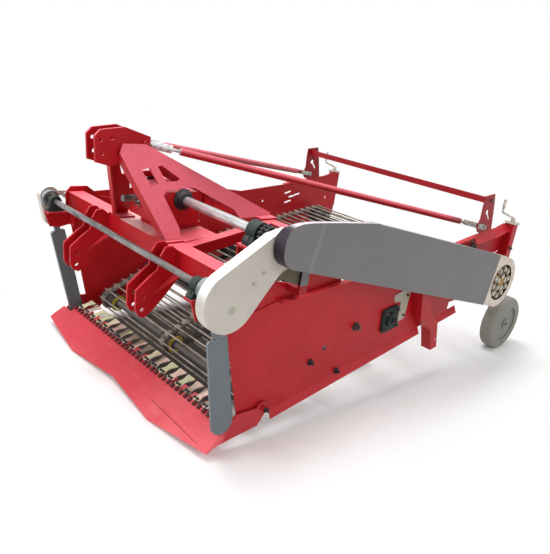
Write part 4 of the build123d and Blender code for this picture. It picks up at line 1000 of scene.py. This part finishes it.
# %% Top edge of the case
rim = np.array([                              # Y and Z of the upper edge, Y and Z of the lower edge, in mm
    (-91, 10, -86, 9), (-88, 52, -75, 44), (-72, 84, -57, 66), (-42, 103, -33, 80), (-3, 111, -3, 86),
    (51, 112, 51, 81), (100, 110, 100, 80), (231, 102, 231, 76), (371, 92, 371, 73), (523, 79, 523, 69),
    (533, 72.5, 533, 69)]) / 1000
depth = np.interp(rim[:, 0], (-0.09, -0.07, -0.03, 0.55), (0.064, 0.05, 0.026, 0.026))
case_out = case_high.x - 0.0004
grid = np.array([[(case_out - d, y2, z2), (case_out, y2, z2), (case_out, y1, z1), (case_out - d, y1, z1)]
                 for (y1, z1, y2, z2), d in zip(rim, depth)]) + (0, shaft[1], shaft[2])
skin("case_top_edge", grid[:, ::-1], case_paint, "frame", sharp=40)

# %% Casting
casting = paint("casting", colour(78, 72, 60), colour(118, 104, 86), colour(176, 166, 148), dust_and_sheen=0.5, gloss=0.6)
outline = np.array([                          # Y, lower Z and upper Z, in mm
    (22, 864, 868), (50, 867, 893), (77, 866, 914), (118, 850, 929), (150, 834, 921), (180, 830, 911),
    (204, 826, 905)]) / 1000
cast_in, cast_t = panel_out + 0.04, 0.0172
cast_out = cast_in + cast_t
grid = np.array([[(cast_in, y, low_z), (cast_out, y, low_z), (cast_out, y, high_z), (cast_in, y, high_z)]
                 for y, low_z, high_z in outline]) + (0, shaft[1], 0)
skin("case_casting", grid[:, ::-1], casting, "frame", sharp=50)

# %% [markdown]
# ## Studio
# A white floor and a white backdrop light the machine evenly. Under and beside the machine the
# floor shows the soft shadow that really falls on it. Further out the camera sees it as plain
# white, as it sees the backdrop, and polished metal reflects the same white. Right under the
# chain a painted shadow darkens the floor, and that is what shows between the rods. From below
# the floor is clear, so the machine's underside can be looked at.

# %% Floor
low, high = (Vector(corner) for corner in cad_box)
middle = (low + high) / 2


def plane(name, size, z):
    """A square of that size, level at height z."""
    half = size / 2
    mesh = bpy.data.meshes.new(name)
    corners = [(-half, -half, z), (half, -half, z), (half, half, z), (-half, half, z)]
    mesh.from_pydata(corners, [], [(0, 1, 2, 3)])
    made = bpy.data.objects.new(name, mesh)
    bpy.context.scene.collection.objects.link(made)
    return made


floor = plane("floor", 60.0, low.z - 0.001)


# %% What the floor shows
def seen_white(net):
    """1 for rays from the camera, and for those that came by way of a mirror or glass."""
    rays = [net.node("ShaderNodeLightPath", output=f"Is {kind} Ray") for kind in ("Camera", "Glossy", "Transmission")]
    return rays[0].math("MAXIMUM", rays[1]).math("MAXIMUM", rays[2])


white = (1.0, 1.0, 1.0, 1.0)
net = Net("floor")
out_x = (net.place("X") - middle.x).math("ABSOLUTE") - (high.x - low.x) / 2
out_y = (net.place("Y") - middle.y).math("ABSOLUTE") - (high.y - low.y) / 2
outside = (out_x.math("MAXIMUM", 0.0) ** 2 + out_y.math("MAXIMUM", 0.0) ** 2).math("SQRT")
away = outside.ramp(-0.05, 0.55)
# Painted shadow: a dark patch with soft edges on the floor under the chain.
shadow_x, shadow_y, half_x, half_y = -0.16, -0.49, 0.7, 0.67
from_x = (net.place("X") - shadow_x).math("ABSOLUTE") - half_x
from_y = (net.place("Y") - shadow_y).math("ABSOLUTE") - half_y
unshadowed = from_x.math("MAXIMUM", from_y).ramp(-0.12, 0.06)
tone = net.mix(unshadowed, colour(70, 63, 57), white)
matt = net.node("ShaderNodeBsdfDiffuse", inputs={"Color": tone})
glow = net.node("ShaderNodeEmission", inputs={"Color": white, "Strength": 1.0})
lit = net.node("ShaderNodeMixShader", inputs={0: seen_white(net) * away, 1: matt, 2: glow})
below = net.node("ShaderNodeNewGeometry", output="Backfacing")
clear = net.node("ShaderNodeBsdfTransparent")
lit = net.node("ShaderNodeMixShader", inputs={0: below, 1: lit, 2: clear})
net.node("ShaderNodeOutputMaterial", inputs={"Surface": lit})
floor.data.materials.append(net.owner)
print("floor at", round(low.z - 0.001, 4))

# %% World and lamps
net = Net("studio", bpy.data.worlds)
bpy.context.scene.world = net.owner
sky = net.node("ShaderNodeBackground", inputs={"Color": white, "Strength": 0.6})
backdrop = net.node("ShaderNodeBackground", inputs={"Color": white, "Strength": 1.0})
lit = net.node("ShaderNodeMixShader", inputs={0: seen_white(net), 1: sky, 2: backdrop})
net.node("ShaderNodeOutputWorld", inputs={"Surface": lit})


def lamp(name, place, size, watts):
    """A square area lamp that points at the machine's middle."""
    made = bpy.data.objects.new(name, bpy.data.lights.new(name, "AREA"))
    made.data.shape = "SQUARE"
    made.data.size = size
    made.data.energy = watts
    made.location = place
    made.rotation_euler = (middle - Vector(place)).to_track_quat("-Z", "Y").to_euler()
    bpy.context.scene.collection.objects.link(made)
    print(name, watts, "W")


lamp("top_lamp", (-0.6, -1.2, 5.5), 3.0, 240)
lamp("front_lamp", (-1.5, -5.5, 2.6), 2.4, 90)
lamp("side_lamp", (5.2, -1.2, 3.3), 2.0, 46)

# %% [markdown]
# Last, the colours are shown as they are.

# %% Display
bpy.context.scene.view_settings.view_transform = "Standard"
